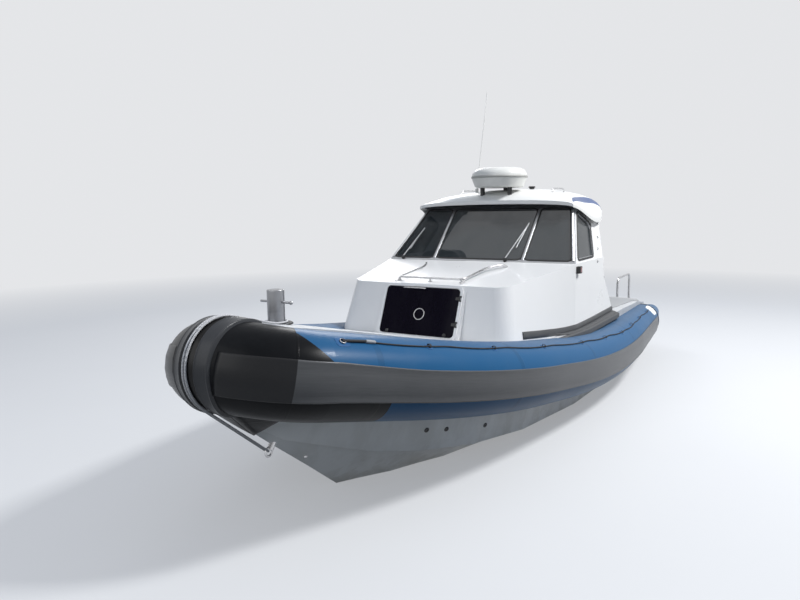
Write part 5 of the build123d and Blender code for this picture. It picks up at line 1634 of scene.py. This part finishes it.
@dataclass
class Cabin:
    """Cabin moulding, deck hatch, wheelhouse glazing and roof.

    Attributes:
        centre_pane: Corners of the windscreen's middle pane.
        port_pane: Corners of its port pane.
        side_pane: Corners of the port side window.
        screen_normal: The way that the windscreen faces.
        side_normal: The way that the port side window faces.
        fasteners: A point near each of the port pillar's fasteners.
        on_frame: How many of them sit on the side frame; the rest sit on the cabin.
        rim, dome: A fastener's (radius, height) pairs.
        trim_line: Places along the boat, and the foot moulding's height there.
        moulding: The foot moulding's half width, edge height, half top and full height.
        cover: The same for the covers of the mullions and corners.
        mullion_shift: From the middle pane's edge to a mullion's middle.
        corner_shift: From the port pane's edge to the corner cover's middle.
        vent: The hatch vent's (radius, height) pairs.
        knob: A hatch latch's (radius, height) pairs.
        bar_half: Half the hatch bar's length.
        roof_rows: Places along the boat, and half the roof's width there.
        lining: Where the dark sheet of painted shade under the roof starts and stops along the boat.
        lamp_at: The middle of the port lamp's lens.
        lamp_half: Half the lens's thickness and length.
        rail_foot: A point near the port strut's seat.
        rail_head: Where the strut meets the rail.
    """

    centre_pane: tuple = (
        (-0.5, -0.0199, 1.5543), (0.5, -0.0199, 1.5543),
        (0.5, 0.5059, 2.0763), (-0.5, 0.5059, 2.0763),
    )
    port_pane: tuple = (
        (0.53, -0.0199, 1.5543), (1.0328, -0.0199, 1.5543),
        (0.8542, 0.5059, 2.0763), (0.53, 0.5059, 2.0763),
    )
    side_pane: tuple = (
        (1.0641, 0.0722, 1.5580), (1.0580, 0.6680, 1.5580),
        (0.9444, 0.9250, 1.9050), (0.8990, 0.5600, 2.0420),
    )
    screen_normal: tuple = (0.0, -0.70463, 0.709575)
    side_normal: tuple = (0.949134, 0.009919, 0.314716)
    fasteners: tuple = (
        (0.943, 1.250, 1.888), (0.990, 1.084, 1.751),
        (1.033, 0.930, 1.625), (1.074, 0.788, 1.498),
    )
    on_frame: int = 3
    rim: tuple = ((0.018, -0.001), (0.018, 0.002), (0.0165, 0.003), (0.0, 0.003))
    dome: tuple = ((0.013, -0.001), (0.013, 0.005), (0.0115, 0.008), (0.007, 0.011), (0.0, 0.012))
    trim_line: tuple = ((-1.06, 0.972), (-0.67, 0.934), (-0.22, 0.900), (0.48, 0.886), (1.40, 0.890))
    moulding: tuple = (0.034, 0.004, 0.028, 0.009)
    cover: tuple = (0.015, 0.003, 0.010, 0.007)
    mullion_shift: float = 0.015
    corner_shift: float = 0.016
    vent: tuple = (
        (0.056, -0.001), (0.056, 0.003), (0.0535, 0.005),
        (0.0505, 0.005), (0.048, 0.003), (0.048, -0.001),
    )
    knob: tuple = ((0.017, -0.001), (0.017, 0.008), (0.014, 0.012), (0.0, 0.013))
    bar_half: float = 0.115
    roof_rows: tuple = ((0.38, 0.915), (0.56, 0.955), (0.98, 0.998), (1.33, 0.970), (1.60, 0.880))
    lining: tuple = (0.395, 1.585)
    lamp_at: tuple = (1.109, 0.010, 1.470)
    lamp_half: tuple = (0.016, 0.036)
    rail_foot: tuple = (0.350, -1.118, 1.40)
    rail_head: tuple = (0.345, -1.000, 1.4525)

    def build(self) -> None:
        """Rolls the mouldings' edges, dresses the glazing and adds the trim."""
        Softened("cabin", FINISH["white"], 0.022, 4, 24, 0.03, 0.95).build()
        Softened("roof", FINISH["roof"], 0.014, 4, 30, 0.01).build()
        for side in Side:
            Softened(f"cabin_side_{side.label}", FINISH["white"], 0.008, 3, 30, 0.01).build()
        Softened("hatch_frame", FINISH["white"], 0.005, 3, 30, 0.01).build()
        dress(("windscreen_frame", "side_window_frames"), FINISH["frame"])
        dress(("windscreen", "side_windows"), FINISH["glass"])
        dress(("hatch_lid",), FINISH["smoked"])
        dress(("hatch_hinges", "hatch_leaves", "side_lamps", "roof_vent", "radome_feet"), FINISH["black"])
        dress(("wipers",), FINISH["wiper"])
        dress(("coachroof_rail", "roof_rails"), FINISH["steel"])
        dress(("radome",), FINISH["radome"])
        dress(("whip_aerial",), FINISH["aerial"])
        self._gaskets()
        self._fasteners()
        self._trim()
        self._hatch()
        self._headliner()
        self._lamps()
        self._radome_band()
        self._rail_ends()

    def _strip(self, name: str, corners: tuple, facing: tuple, bend: float, half: float, lift: float) -> None:
        """A flat rubber strip along a closed outline on a plane, on both sides if it is off the centre.

        Args:
            name: The piece's name.
            corners: The outline's corners.
            facing: The plane's normal.
            bend: How far from a corner its bend starts.
            half: Half the strip's width.
            lift: Its height over the plane.
        """
        profile = strip_profile(half, lift * 0.6, half * 0.7, lift)
        path = rounded_outline(np.array(corners), bend)
        normal = np.array(facing)
        middle = path.mean(axis=0)
        paired = abs(middle[0]) > 0.2
        for side in Side if paired else (Side.PORT,):
            grid, uv = carried(side.laid(path), profile, side.laid(normal), closed=True)
            wound = np.cross(path[1] - path[0], middle - path[0]) @ normal * side.value > 0
            tag = side.label if paired else "middle"
            Sheet(f"{name}_{tag}", grid, FINISH["rubber"], loop_rows=True, route=uv, flip=wound).build()

    def _gaskets(self) -> None:
        """Black rubber round each pane."""
        self._strip("screen_gasket", self.centre_pane, self.screen_normal, 0.07, 0.010, 0.004)
        self._strip("screen_gasket_side", self.port_pane, self.screen_normal, 0.06, 0.010, 0.004)
        self._strip("side_gasket", self.side_pane, self.side_normal, 0.05, 0.011, 0.007)

    def _fasteners(self) -> None:
        """The row of domed fasteners on the rear pillars."""
        for side in Side:
            for index, at in enumerate(self.fasteners):
                node = f"cabin_side_{side.label}" if index < self.on_frame else "cabin"
                tag, near = f"{side.label}_{index}", side.laid(at)
                Fitting(f"fastener_rim_{tag}", near, node, self.rim, FINISH["seam"]).build()
                Fitting(f"fastener_{tag}", near, node, self.dome, FINISH["steel"]).build()

    def _trim(self) -> None:
        """A rubber moulding and lap at the cabin's foot, and covers on the screen's mullions and corners.

        The moulding's line is where level rays meet the cabin at the trim
        line's heights.
        """
        tree = surface_of("cabin")
        y = np.linspace(self.trim_line[0][0], self.trim_line[-1][0], 90)
        z = smooth_between(*zip(*self.trim_line), y)
        path, facing = [], []
        for along, height in zip(y, z):
            met, normal, _, _ = tree.ray_cast(Vector((1.6, along, height)), Vector((-1, 0, 0)))
            path.append(tuple(met))
            facing.append(tuple(normal))
        path, facing = np.array(path), unit(evened_rows(np.array(facing)))
        lap, lap_uv = self._lap(path)
        moulding, cover = strip_profile(*self.moulding), strip_profile(*self.cover)
        share = np.linspace(0, 1, 12)[:, None]
        screen = np.array(self.screen_normal)
        foot, head = (np.array(corner) + (self.mullion_shift, 0, 0) for corner in self.centre_pane[1:3])
        mullion = foot + (head - foot) * share
        outward = unit(screen + np.array(self.side_normal))
        foot, head = (np.array(corner) for corner in self.port_pane[1:3])
        corner = foot + (head - foot) * share + outward * 0.002 + np.array([self.corner_shift, 0.0, 0.0])
        for side in Side:
            grid, uv = carried(side.laid(path), moulding, side.laid(facing))
            name = f"foot_moulding_{side.label}"
            Sheet(name, grid, FINISH["strip"], caps=True, route=uv, flip=True).build()
            name, flip = f"foot_lap_{side.label}", side is Side.PORT
            Sheet(name, side.laid(lap), FINISH["strip"], route=lap_uv, flip=flip).build()
            grid, uv = carried(side.laid(mullion), cover, screen)
            name = f"mullion_cover_{side.label}"
            Sheet(name, grid, FINISH["frame"], caps=True, route=uv, flip=True).build()
            grid, uv = carried(side.laid(corner), cover, side.laid(outward))
            name = f"corner_cover_{side.label}"
            Sheet(name, grid, FINISH["frame"], caps=True, route=uv, flip=True).build()

    def _lap(self, path: Array) -> tuple[Array, Array]:
        """The port side's rubber lap from the foot moulding out to the tube's side strip.

        Each row starts under the moulding and ends on the strip's highest
        point beside it, which rays cast down find, and swells 5 mm between.
        The first 0.20 m widen from nothing.

        Args:
            path: The moulding's middle line.

        Returns:
            The grid, and the run and share of its points.
        """
        strip = surface_of("side_strip_port")
        low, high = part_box("side_strip_port")
        rows = []
        for x, y, z in path[(path[:, 1] > low[1] + 0.01) & (path[:, 1] < high[1] - 0.01)]:
            tops = []
            for out in np.linspace(x, high[0] + 0.002, 60):
                met = strip.ray_cast(Vector((out, y, 1.5)), Vector((0, 0, -1)))[0]
                if met is not None:
                    tops.append(tuple(met))
            if tops:
                highest = max(tops, key=lambda top: (round(top[2], 3), top[0]))
                rows.append(((x + 0.004, y, z - 0.020), highest))
        ends = np.array(rows)
        widened = np.clip((ends[:, 0, 1] - ends[0, 0, 1]) / 0.20, 0.0, 1.0)[:, None]
        ends[:, 1] = ends[:, 0] + (ends[:, 1] - ends[:, 0]) * widened
        share = np.linspace(0, 1, 7)
        grid = ends[:, :1] * (1 - share)[None, :, None] + ends[:, 1:] * share[None, :, None]
        grid[..., 2] += 0.003 + 0.005 * np.sin(share * np.pi)
        run = np.broadcast_to(ends[:, :1, 1], grid.shape[:2])
        return grid, np.stack([run, np.broadcast_to(share, run.shape)], -1)

    def _hatch(self) -> None:
        """The lid's round vent, its pull bar and the corner latches."""
        steel, lid = FINISH["steel"], "hatch_lid"
        Fitting("hatch_vent", (0.007, -1.299, 1.137), lid, self.vent, steel, "hatch").build()
        spot, normal = seat_on(lid, (-0.09, -1.204, 1.362))
        x = np.linspace(-self.bar_half, self.bar_half, 25)
        rise = 0.013 * np.clip((self.bar_half - np.abs(x)) / 0.016, 0, 1) ** 0.5
        path = spot + np.stack([x, np.zeros_like(x), np.zeros_like(x)], 1) + normal * rise[:, None]
        grid, uv = carried(path, ring(0.0055, 10), normal)
        hose("hatch_bar", grid, steel, uv, body="hatch", flip=True).build()
        for side in (Side.STARBOARD, Side.PORT):
            name, near = f"hatch_latch_{side.value + 1}", side.laid((0.30, -1.372, 0.975))
            Fitting(name, near, lid, self.knob, FINISH["black"], "hatch").build()

    def _headliner(self) -> None:
        """A dark sheet just under the roof that paints the shade under the roof and its visor: heights found
        by rays cast up to its underside.
        """
        tree = surface_of("roof")
        y = np.linspace(*self.lining, 30)
        half = smooth_between(*zip(*self.roof_rows), y) - 0.030
        share = np.sin(np.linspace(-1, 1, 41) * np.pi / 2)
        x = share[None] * half[:, None]
        z = np.full_like(x, np.nan)
        for index in np.ndindex(x.shape):
            hit = tree.ray_cast(Vector((x[index], y[index[0]], 1.0)), Vector((0, 0, 1)))[0]
            z[index] = hit.z if hit is not None else np.nan
        for row in z:
            known = ~np.isnan(row)
            row[~known] = np.interp(np.flatnonzero(~known), np.flatnonzero(known), row[known])
        grid = np.stack([x, np.broadcast_to(y[:, None], x.shape), z - 0.003], -1)
        # painted shade: a near-black sheet under the roof and visor
        Sheet("headliner", grid, FINISH["liner"], thickness=0.002).build()

    def _lamps(self) -> None:
        """A red lens to port and a green one to starboard, on the lamps' outer faces.

        A lens is half an oval, carried up and drawn in at its top and foot.
        """
        a = np.linspace(-np.pi / 2, np.pi / 2, 19)
        rows = np.array([0.90, 0.97, 1.0, 1.0, 0.97, 0.90])[:, None]
        x = self.lamp_at[0] + self.lamp_half[0] * np.cos(a)[None] * rows
        y = self.lamp_at[1] + self.lamp_half[1] * np.sin(a)[None] * rows
        heights = np.array([-0.024, -0.022, -0.018, 0.018, 0.022, 0.024]) + self.lamp_at[2]
        grid = np.stack([x, y, np.broadcast_to(heights[:, None], x.shape)], -1)
        for side, lens in ((Side.PORT, "lens_red"), (Side.STARBOARD, "lens_green")):
            flip = side is Side.STARBOARD
            hose(f"lamp_lens_{side.label}", side.laid(grid), FINISH[lens], flip=flip).build()

    def _radome_band(self) -> None:
        """The radome's seam: a thin groove ring round its widest part."""
        low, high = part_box("radome")
        foot = ((low[0] + high[0]) / 2, (low[1] + high[1]) / 2, low[2])
        radius = (high[0] - low[0]) / 2
        profile = (
            (radius - 0.006, 0.104), (radius + 0.001, 0.110), (radius + 0.0015, 0.118),
            (radius + 0.001, 0.126), (radius - 0.006, 0.132),
        )
        grid = turned(profile, foot, (0.0, 0.0, 1.0), 72)
        Sheet("radome_seam", grid, FINISH["seam"], loop_columns=True).build()

    def _rail_ends(self) -> None:
        """The coachroof rail's two front struts, from its corners down to the cabin's edge."""
        for side in Side:
            spot, _ = seat_on("cabin", side.laid(self.rail_foot))
            path = np.linspace(spot, side.laid(self.rail_head), 8)
            grid, uv = carried(path, ring(0.0108, 12), np.array((0.0, 0.0, 1.0)))
            hose(f"rail_strut_{side.label}", grid, FINISH["steel"], uv, flip=True).build()


@dataclass
class Pad:
    """A stuffed cushion: a squarish block with a swelling face, sewn channels and a piped edge.

    Attributes:
        face: The axis that its broad faces look along.
        front: The side of that axis that is sat on or leaned against.
        channels: Where the sewn channels lie across the face, from -1 to 1.
        swell: How far the face swells.
        sew: How deep the channels are.
        thread: The channels' width, in halves of the face.
        tuck: How far the sides are pulled in between the corners, as a share.
        piping: The welt's radius.
    """

    name: str
    low: tuple
    high: tuple
    face: int
    front: int
    channels: tuple = (-0.36, 0.36)
    swell: float = 0.016
    sew: float = 0.009
    thread: float = 0.045
    tuck: float = 0.022
    piping: float = 0.0042

    def build(self) -> bpy.types.Object:
        """Builds the block from a superellipse turned along a squircle.

        With a from pole to pole, reach is |sin a|^(2/6) and height is
        |cos a|^(2/6); with b round the face, the outline is |cos b|^(2/5) by
        |sin b|^(2/5), pulled in between its corners. The front face is raised
        by (1 - u^2)(1 - v^2) and lowered along the channels.

        Returns:
            The cushion.
        """
        low, high = np.array(self.low), np.array(self.high)
        centre, half = (low + high) / 2, (high - low) / 2
        u_axis, v_axis = [k for k in range(3) if k != self.face]
        reach, height = self._curve(6.0, np.pi, 58)
        u, v = self._curve(5.0, 2 * np.pi, 97)
        u, v = u[:-1], v[:-1]
        pull = 1 - self.tuck * (1 - np.minimum(np.abs(u), np.abs(v)) ** 2)
        plan = np.stack([u * pull, v * pull], -1)
        flat = reach[:, None, None] * plan[None]
        rise = np.broadcast_to(height[:, None], flat.shape[:2])
        bulge = np.clip(1 - flat[..., 0] ** 2, 0, 1) * np.clip(1 - flat[..., 1] ** 2, 0, 1)
        sewn = sum(np.exp(-(((flat[..., 0] - c) / self.thread) ** 2)) for c in self.channels)
        front = np.clip(rise * self.front, 0, 1)
        lift = front * (self.swell * bulge - self.sew * sewn * np.clip(bulge * 3, 0, 1))
        grid = np.zeros(flat.shape[:2] + (3,))
        grid[..., u_axis] = centre[u_axis] + half[u_axis] * flat[..., 0]
        grid[..., v_axis] = centre[v_axis] + half[v_axis] * flat[..., 1]
        grid[..., self.face] = centre[self.face] + (half[self.face] - self.swell) * rise + lift * self.front
        parity = np.linalg.det(np.eye(3)[[u_axis, v_axis, self.face]])
        piece = Sheet(self.name, grid, FINISH["vinyl"], loop_columns=True, flip=parity < 0).build()
        self._piping(centre, half, plan, u_axis, v_axis)
        return piece

    def _curve(self, power: float, sweep: float, count: int) -> tuple[Array, Array]:
        """A superellipse's two parts at even spacing along it.

        They are |sin a|^(2/power) and |cos a|^(2/power), with the signs of
        the sine and cosine.

        Args:
            power: The superellipse's power.
            sweep: The angle at which it stops.
            count: How many points are read.

        Returns:
            The first and the second part.
        """
        a = np.linspace(0, sweep, 721)
        first = np.sign(np.sin(a)) * np.abs(np.sin(a)) ** (2 / power)
        second = np.sign(np.cos(a)) * np.abs(np.cos(a)) ** (2 / power)
        run = length_along(np.stack([first, second], 1))
        at = np.linspace(0, run[-1], count)
        return np.interp(at, run, first), np.interp(at, run, second)

    def _piping(self, centre: Array, half: Array, plan: Array, u_axis: int, v_axis: int) -> None:
        """A thin welt along the front face's edge.

        Args:
            centre: The block's middle.
            half: Half its size.
            plan: The face's outline, in halves of the block.
            u_axis: The axis of the outline's first part.
            v_axis: The axis of its second part.
        """
        path = np.zeros((len(plan), 3))
        path[:, u_axis] = centre[u_axis] + half[u_axis] * plan[:, 0] * 0.985
        path[:, v_axis] = centre[v_axis] + half[v_axis] * plan[:, 1] * 0.985
        path[:, self.face] = centre[self.face] + (half[self.face] - self.swell) * 0.80 * self.front
        up = np.eye(3)[self.face]
        grid, uv = carried(path, ring(self.piping, 8), up, closed=True)
        name = f"{self.name}_welt"
        Sheet(name, grid, FINISH["welt"], loop_rows=True, loop_columns=True, route=uv).build()


@dataclass
class Helm:
    """Dash, console, wheel and the two seats.

    Attributes:
        seat_sides: How far out each seat's cushions start and stop.
        pad: Where the seat cushion starts and stops along the boat, and in height.
        back: The same for the backrest's cushion.
    """

    seat_sides: tuple = (0.245, 0.715)
    pad: tuple = ((0.640, 0.992), (0.881, 0.998))
    back: tuple = ((0.984, 1.092), (0.890, 1.352))

    def build(self) -> None:
        """Dresses the helm's pieces and stuffs the seats."""
        Softened("dash", FINISH["charcoal"], 0.008, 3, 30, 0.01).build()
        Softened("console", FINISH["white"], 0.014, 3, 30, 0.01).build()
        Softened("instrument_hood", FINISH["white"], 0.006, 3, 30, 0.01).build()
        dress(("helm_stub",), FINISH["steel"])
        dress(("helm_wheel",), FINISH["black"])
        dress(("seats",), FINISH["frame"])
        pads = []
        for side in Side:
            across = sorted(out * side.value for out in self.seat_sides)
            low, high = zip(across, *self.pad)
            pads.append(Pad(f"seat_pad_{side.label}", low, high, 2, 1).build())
            low, high = zip(across, *self.back)
            pads.append(Pad(f"seat_back_{side.label}", low, high, 1, -1).build())
        for pad in pads:
            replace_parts(pad, "seat_cushions")


@dataclass
class Outboard:
    """The engine, its brackets and its propeller.

    Attributes:
        seam_centre: The x and y of the axis that the cowl's seam goes round.
        seam_up: The seam's height.
        seam_reach: A radius that lies outside the cowl.
        seam_profile: The seam's (side, rise) pairs.
    """

    seam_centre: tuple = (0.0, 3.90)
    seam_up: float = 0.640
    seam_reach: float = 0.9
    seam_profile: tuple = (
        (-0.003, -0.006), (0.0015, -0.006), (0.0035, -0.003),
        (0.0035, 0.003), (0.0015, 0.006), (-0.003, 0.006),
    )

    def build(self) -> None:
        """Dresses the engine's pieces and adds the cowl's seam."""
        Softened("engine_cowl", FINISH["cowl"], 0.012, 3, 20, 0.01, body="engine").build()
        dress(("engine_clamp", "engine_swivel", "engine_leg"), FINISH["engine"])
        dress(("propeller",), FINISH["prop"])
        path = girdle("engine_cowl", self.seam_centre, self.seam_up, self.seam_reach)
        profile = np.array(self.seam_profile)
        grid, uv = carried(path, profile, np.array((0.0, 0.0, 1.0)), closed=True)
        seam = Sheet("cowl_seam", grid, FINISH["rubber"], "engine", route=uv)
        seam.loop_rows = seam.loop_columns = True
        seam.build()


@dataclass
class Studio:
    """Floor at the waterline, lamps, world and camera.

    Attributes:
        eye: The camera's place.
        turn: Its rotation in degrees.
        sensor: Its sensor's width in millimetres.
        focal: Its focal length, as a share of the picture's width.
        floor_half: Half the floor's side.
        floor_lines: Grid lines across the floor.
    """

    eye: tuple = (2.9787, -6.5307, 2.0875)
    turn: tuple = (82.252, 0.830, 31.124)
    sensor: float = 36
    focal: float = 663.5 / 800
    floor_half: float = 60
    floor_lines: int = 25

    def build(self) -> None:
        """Sets the plain pale room."""
        scene = bpy.context.scene
        scene.view_settings.view_transform = "Standard"
        self._floor()
        self._world()
        self._lamp("key", (7.3, 2.1, 9.8), (0.2, 0.2, 0.8), 1500.0, 1.8)
        self._lamp("fill", (-1.0, -9.0, 5.0), (0.0, -0.5, 0.8), 150.0, 6.0)
        self._lamp("rim", (-5.0, 6.5, 6.0), (0.0, 0.5, 1.2), 160.0, 3.0)
        camera = bpy.data.cameras.new("camera")
        camera.lens = self.focal * self.sensor
        camera.sensor_width = self.sensor
        eye = bpy.data.objects.new("camera", camera)
        eye.location = self.eye
        eye.rotation_euler = [math.radians(v) for v in self.turn]
        scene.collection.objects.link(eye)
        scene.camera = eye

    def _floor(self) -> None:
        """A wide flat grid at the waterline, of equal squares."""
        n = self.floor_lines
        a = np.linspace(-self.floor_half, self.floor_half, n)
        x, y = np.meshgrid(a, a, indexing="ij")
        points = np.stack([x, y, np.zeros_like(x)], -1).reshape(-1, 3)
        i, j = [k.ravel() for k in np.meshgrid(np.arange(n - 1), np.arange(n - 1), indexing="ij")]
        faces = np.stack([i * n + j, (i + 1) * n + j, (i + 1) * n + j + 1, i * n + j + 1], 1)
        mesh = bpy.data.meshes.new("floor")
        mesh.from_pydata(points.tolist(), [], faces.tolist())
        mesh.materials.append(FINISH["floor"])
        floor = bpy.data.objects.new("floor", mesh)
        bpy.context.scene.collection.objects.link(floor)

    def _world(self) -> None:
        """A pale room to the camera and in mirrors, and a dimmer cool sky as light."""
        kit = RoomKit("room")
        _, _, z = kit.parts()
        sky = kit.mix(z.above(0.15, 0.9), (0.10, 0.11, 0.12), (0.36, 0.41, 0.50))
        kit.set(Color=kit.mix(kit.seen(), sky, Floor().room), Strength=1.0)
        bpy.context.scene.world = kit.world

    def _lamp(self, name: str, at: tuple, to: tuple, power: float, size: float) -> None:
        """One soft square lamp that looks at a point.

        Args:
            name: Its name.
            at: Where it hangs.
            to: What it looks at.
            power: Watts.
            size: Its side in metres.
        """
        lamp = bpy.data.lights.new(name, "AREA")
        lamp.energy, lamp.size = power, size
        hung = bpy.data.objects.new(name, lamp)
        hung.location = at
        hung.rotation_mode = "QUATERNION"
        hung.rotation_quaternion = (Vector(to) - Vector(at)).to_track_quat("-Z", "Y")
        bpy.context.scene.collection.objects.link(hung)


FINISH: dict[str, bpy.types.Material] = {}


def make_finishes() -> None:
    """Makes each finish once, under the name that the classes use."""
    FINISH.update(
        # hull: its streaks share also sets the painted ripple reflection low on the hull
        hull=Gelcoat("hull_gelcoat", (0.72, 0.74, 0.74), 0.26, 0.10, 0.50).make(),
        deck=Gelcoat("deck_gelcoat", (0.56, 0.57, 0.58), 0.45, 0.12, 0.0, 0.8).make(),
        white=Gelcoat("white_gelcoat", (0.79, 0.79, 0.785), 0.24, 0.03).make(),
        coaming=Gelcoat("coaming_gelcoat", (0.40, 0.405, 0.41), 0.30, 0.08).make(),
        roof=RoofGelcoat().make(),
        tube_split=TubeFabric("tube_fabric", Hue.SPLIT).make(),
        # patches: their top turns paler by the same dust and painted sheen as the tubes'
        tube_patch=TubeFabric(
            "patch_fabric", Hue.BLUE, (0.030, 0.105, 0.245), dust=(0.10, 0.16, 0.24)
        ).make(),
        apron=TubeFabric("apron_fabric", Hue.BLACK).make(),
        band=WearRubber("wear_band", (0.082, 0.084, 0.087), 0.385, 0.27).make(),
        # guard: its groove is painted near black as shade
        guard=WearRubber("guard_rubber", (0.034, 0.036, 0.040), -1.0, 0.27, 0.055).make(),
        tread=Gelcoat("tail_patch", (0.80, 0.81, 0.81), 0.5, 0.15, 0.0, 0.8).make(),
        rubber=SoftPlastic("black_rubber", (0.012, 0.012, 0.013), 0.5, 0.8).make(),
        strip=SoftPlastic("strip_rubber", (0.046, 0.048, 0.051), 0.42, 0.8).make(),
        black=SoftPlastic("black_plastic", (0.012, 0.012, 0.013), 0.38, 0.4).make(),
        charcoal=SoftPlastic("dash_charcoal", (0.030, 0.031, 0.033), 0.62, 0.9).make(),
        # painted shade under the roof and visor: a near-black matt sheet
        liner=SoftPlastic("headliner_cloth", (0.060, 0.062, 0.066), 0.85, 1.0).make(),
        seam=SoftPlastic("seam_grey", (0.36, 0.36, 0.34), 0.5, 0.3).make(),
        aerial=SoftPlastic("aerial_plastic", (0.62, 0.62, 0.60), 0.35, 0.1, 0.2).make(),
        radome=SoftPlastic("radome_plastic", (0.66, 0.66, 0.63), 0.32, 0.1, 0.2).make(),
        steel=BareMetal("polished_steel").make(),
        # post: steel darkened to paint the dark reflections that it shows: painted reflection
        post=BareMetal("post_steel", (0.33, 0.335, 0.35), 0.22, 0.2).make(),
        wiper=BareMetal("wiper_metal", (0.45, 0.45, 0.47), 0.28, 0.15, 1.575).make(),
        prop=BareMetal("propeller_metal", (0.34, 0.34, 0.35), 0.28, 0.2).make(),
        frame=BareMetal("anodised_frame", (0.50, 0.51, 0.53), 0.34, 0.2).make(),
        # windows: dark tint, made darker still to paint the dark interior and surroundings seen through and
        # in the glass: painted shade and reflection
        glass=Glazing("window_glass", (0.010, 0.017, 0.021), 0.68).make(),
        smoked=Glazing("smoked_acrylic", (0.004, 0.003, 0.008), 0.985, 0.04, 0.006, 0.03).make(),
        lens_red=Lens("red_lens", (0.22, 0.010, 0.012)).make(),
        lens_green=Lens("green_lens", (0.010, 0.16, 0.05)).make(),
        webbing=SoftPlastic("webbing", (0.016, 0.016, 0.018), 0.8, 1.0).make(),
        sleeve=SoftPlastic("sleeve_grey", (0.30, 0.31, 0.32), 0.5, 0.6).make(),
        rope_grey=Rope("painter_rope", (0.55, 0.55, 0.56)).make(),
        rope_black=Rope("grab_rope", (0.030, 0.030, 0.033)).make(),
        vinyl=Upholstery("grey_vinyl", (0.13, 0.14, 0.16)).make(),
        welt=Upholstery("welt_vinyl", (0.05, 0.055, 0.065)).make(),
        engine=SoftPlastic("engine_paint", (0.085, 0.093, 0.107), 0.34, 0.2, 0.3).make(),
        cowl=SoftPlastic("cowl_paint", (0.070, 0.077, 0.088), 0.22, 0.1, 0.6).make(),
        floor=Floor().make(),
    )


def main() -> None:
    """Builds the boat's pieces in order."""
    logging.basicConfig(level=logging.INFO, format="%(message)s")
    make_finishes()
    for assembly in (Studio(), Tubes(), Hull(), Cabin(), Helm(), Outboard()):
        before = set(bpy.data.objects)
        assembly.build()
        for piece in sorted(set(bpy.data.objects) - before, key=lambda o: o.name):
            log.info("%s: %s", type(assembly).__name__, piece.name)


if __name__ == "__main__":
    main()
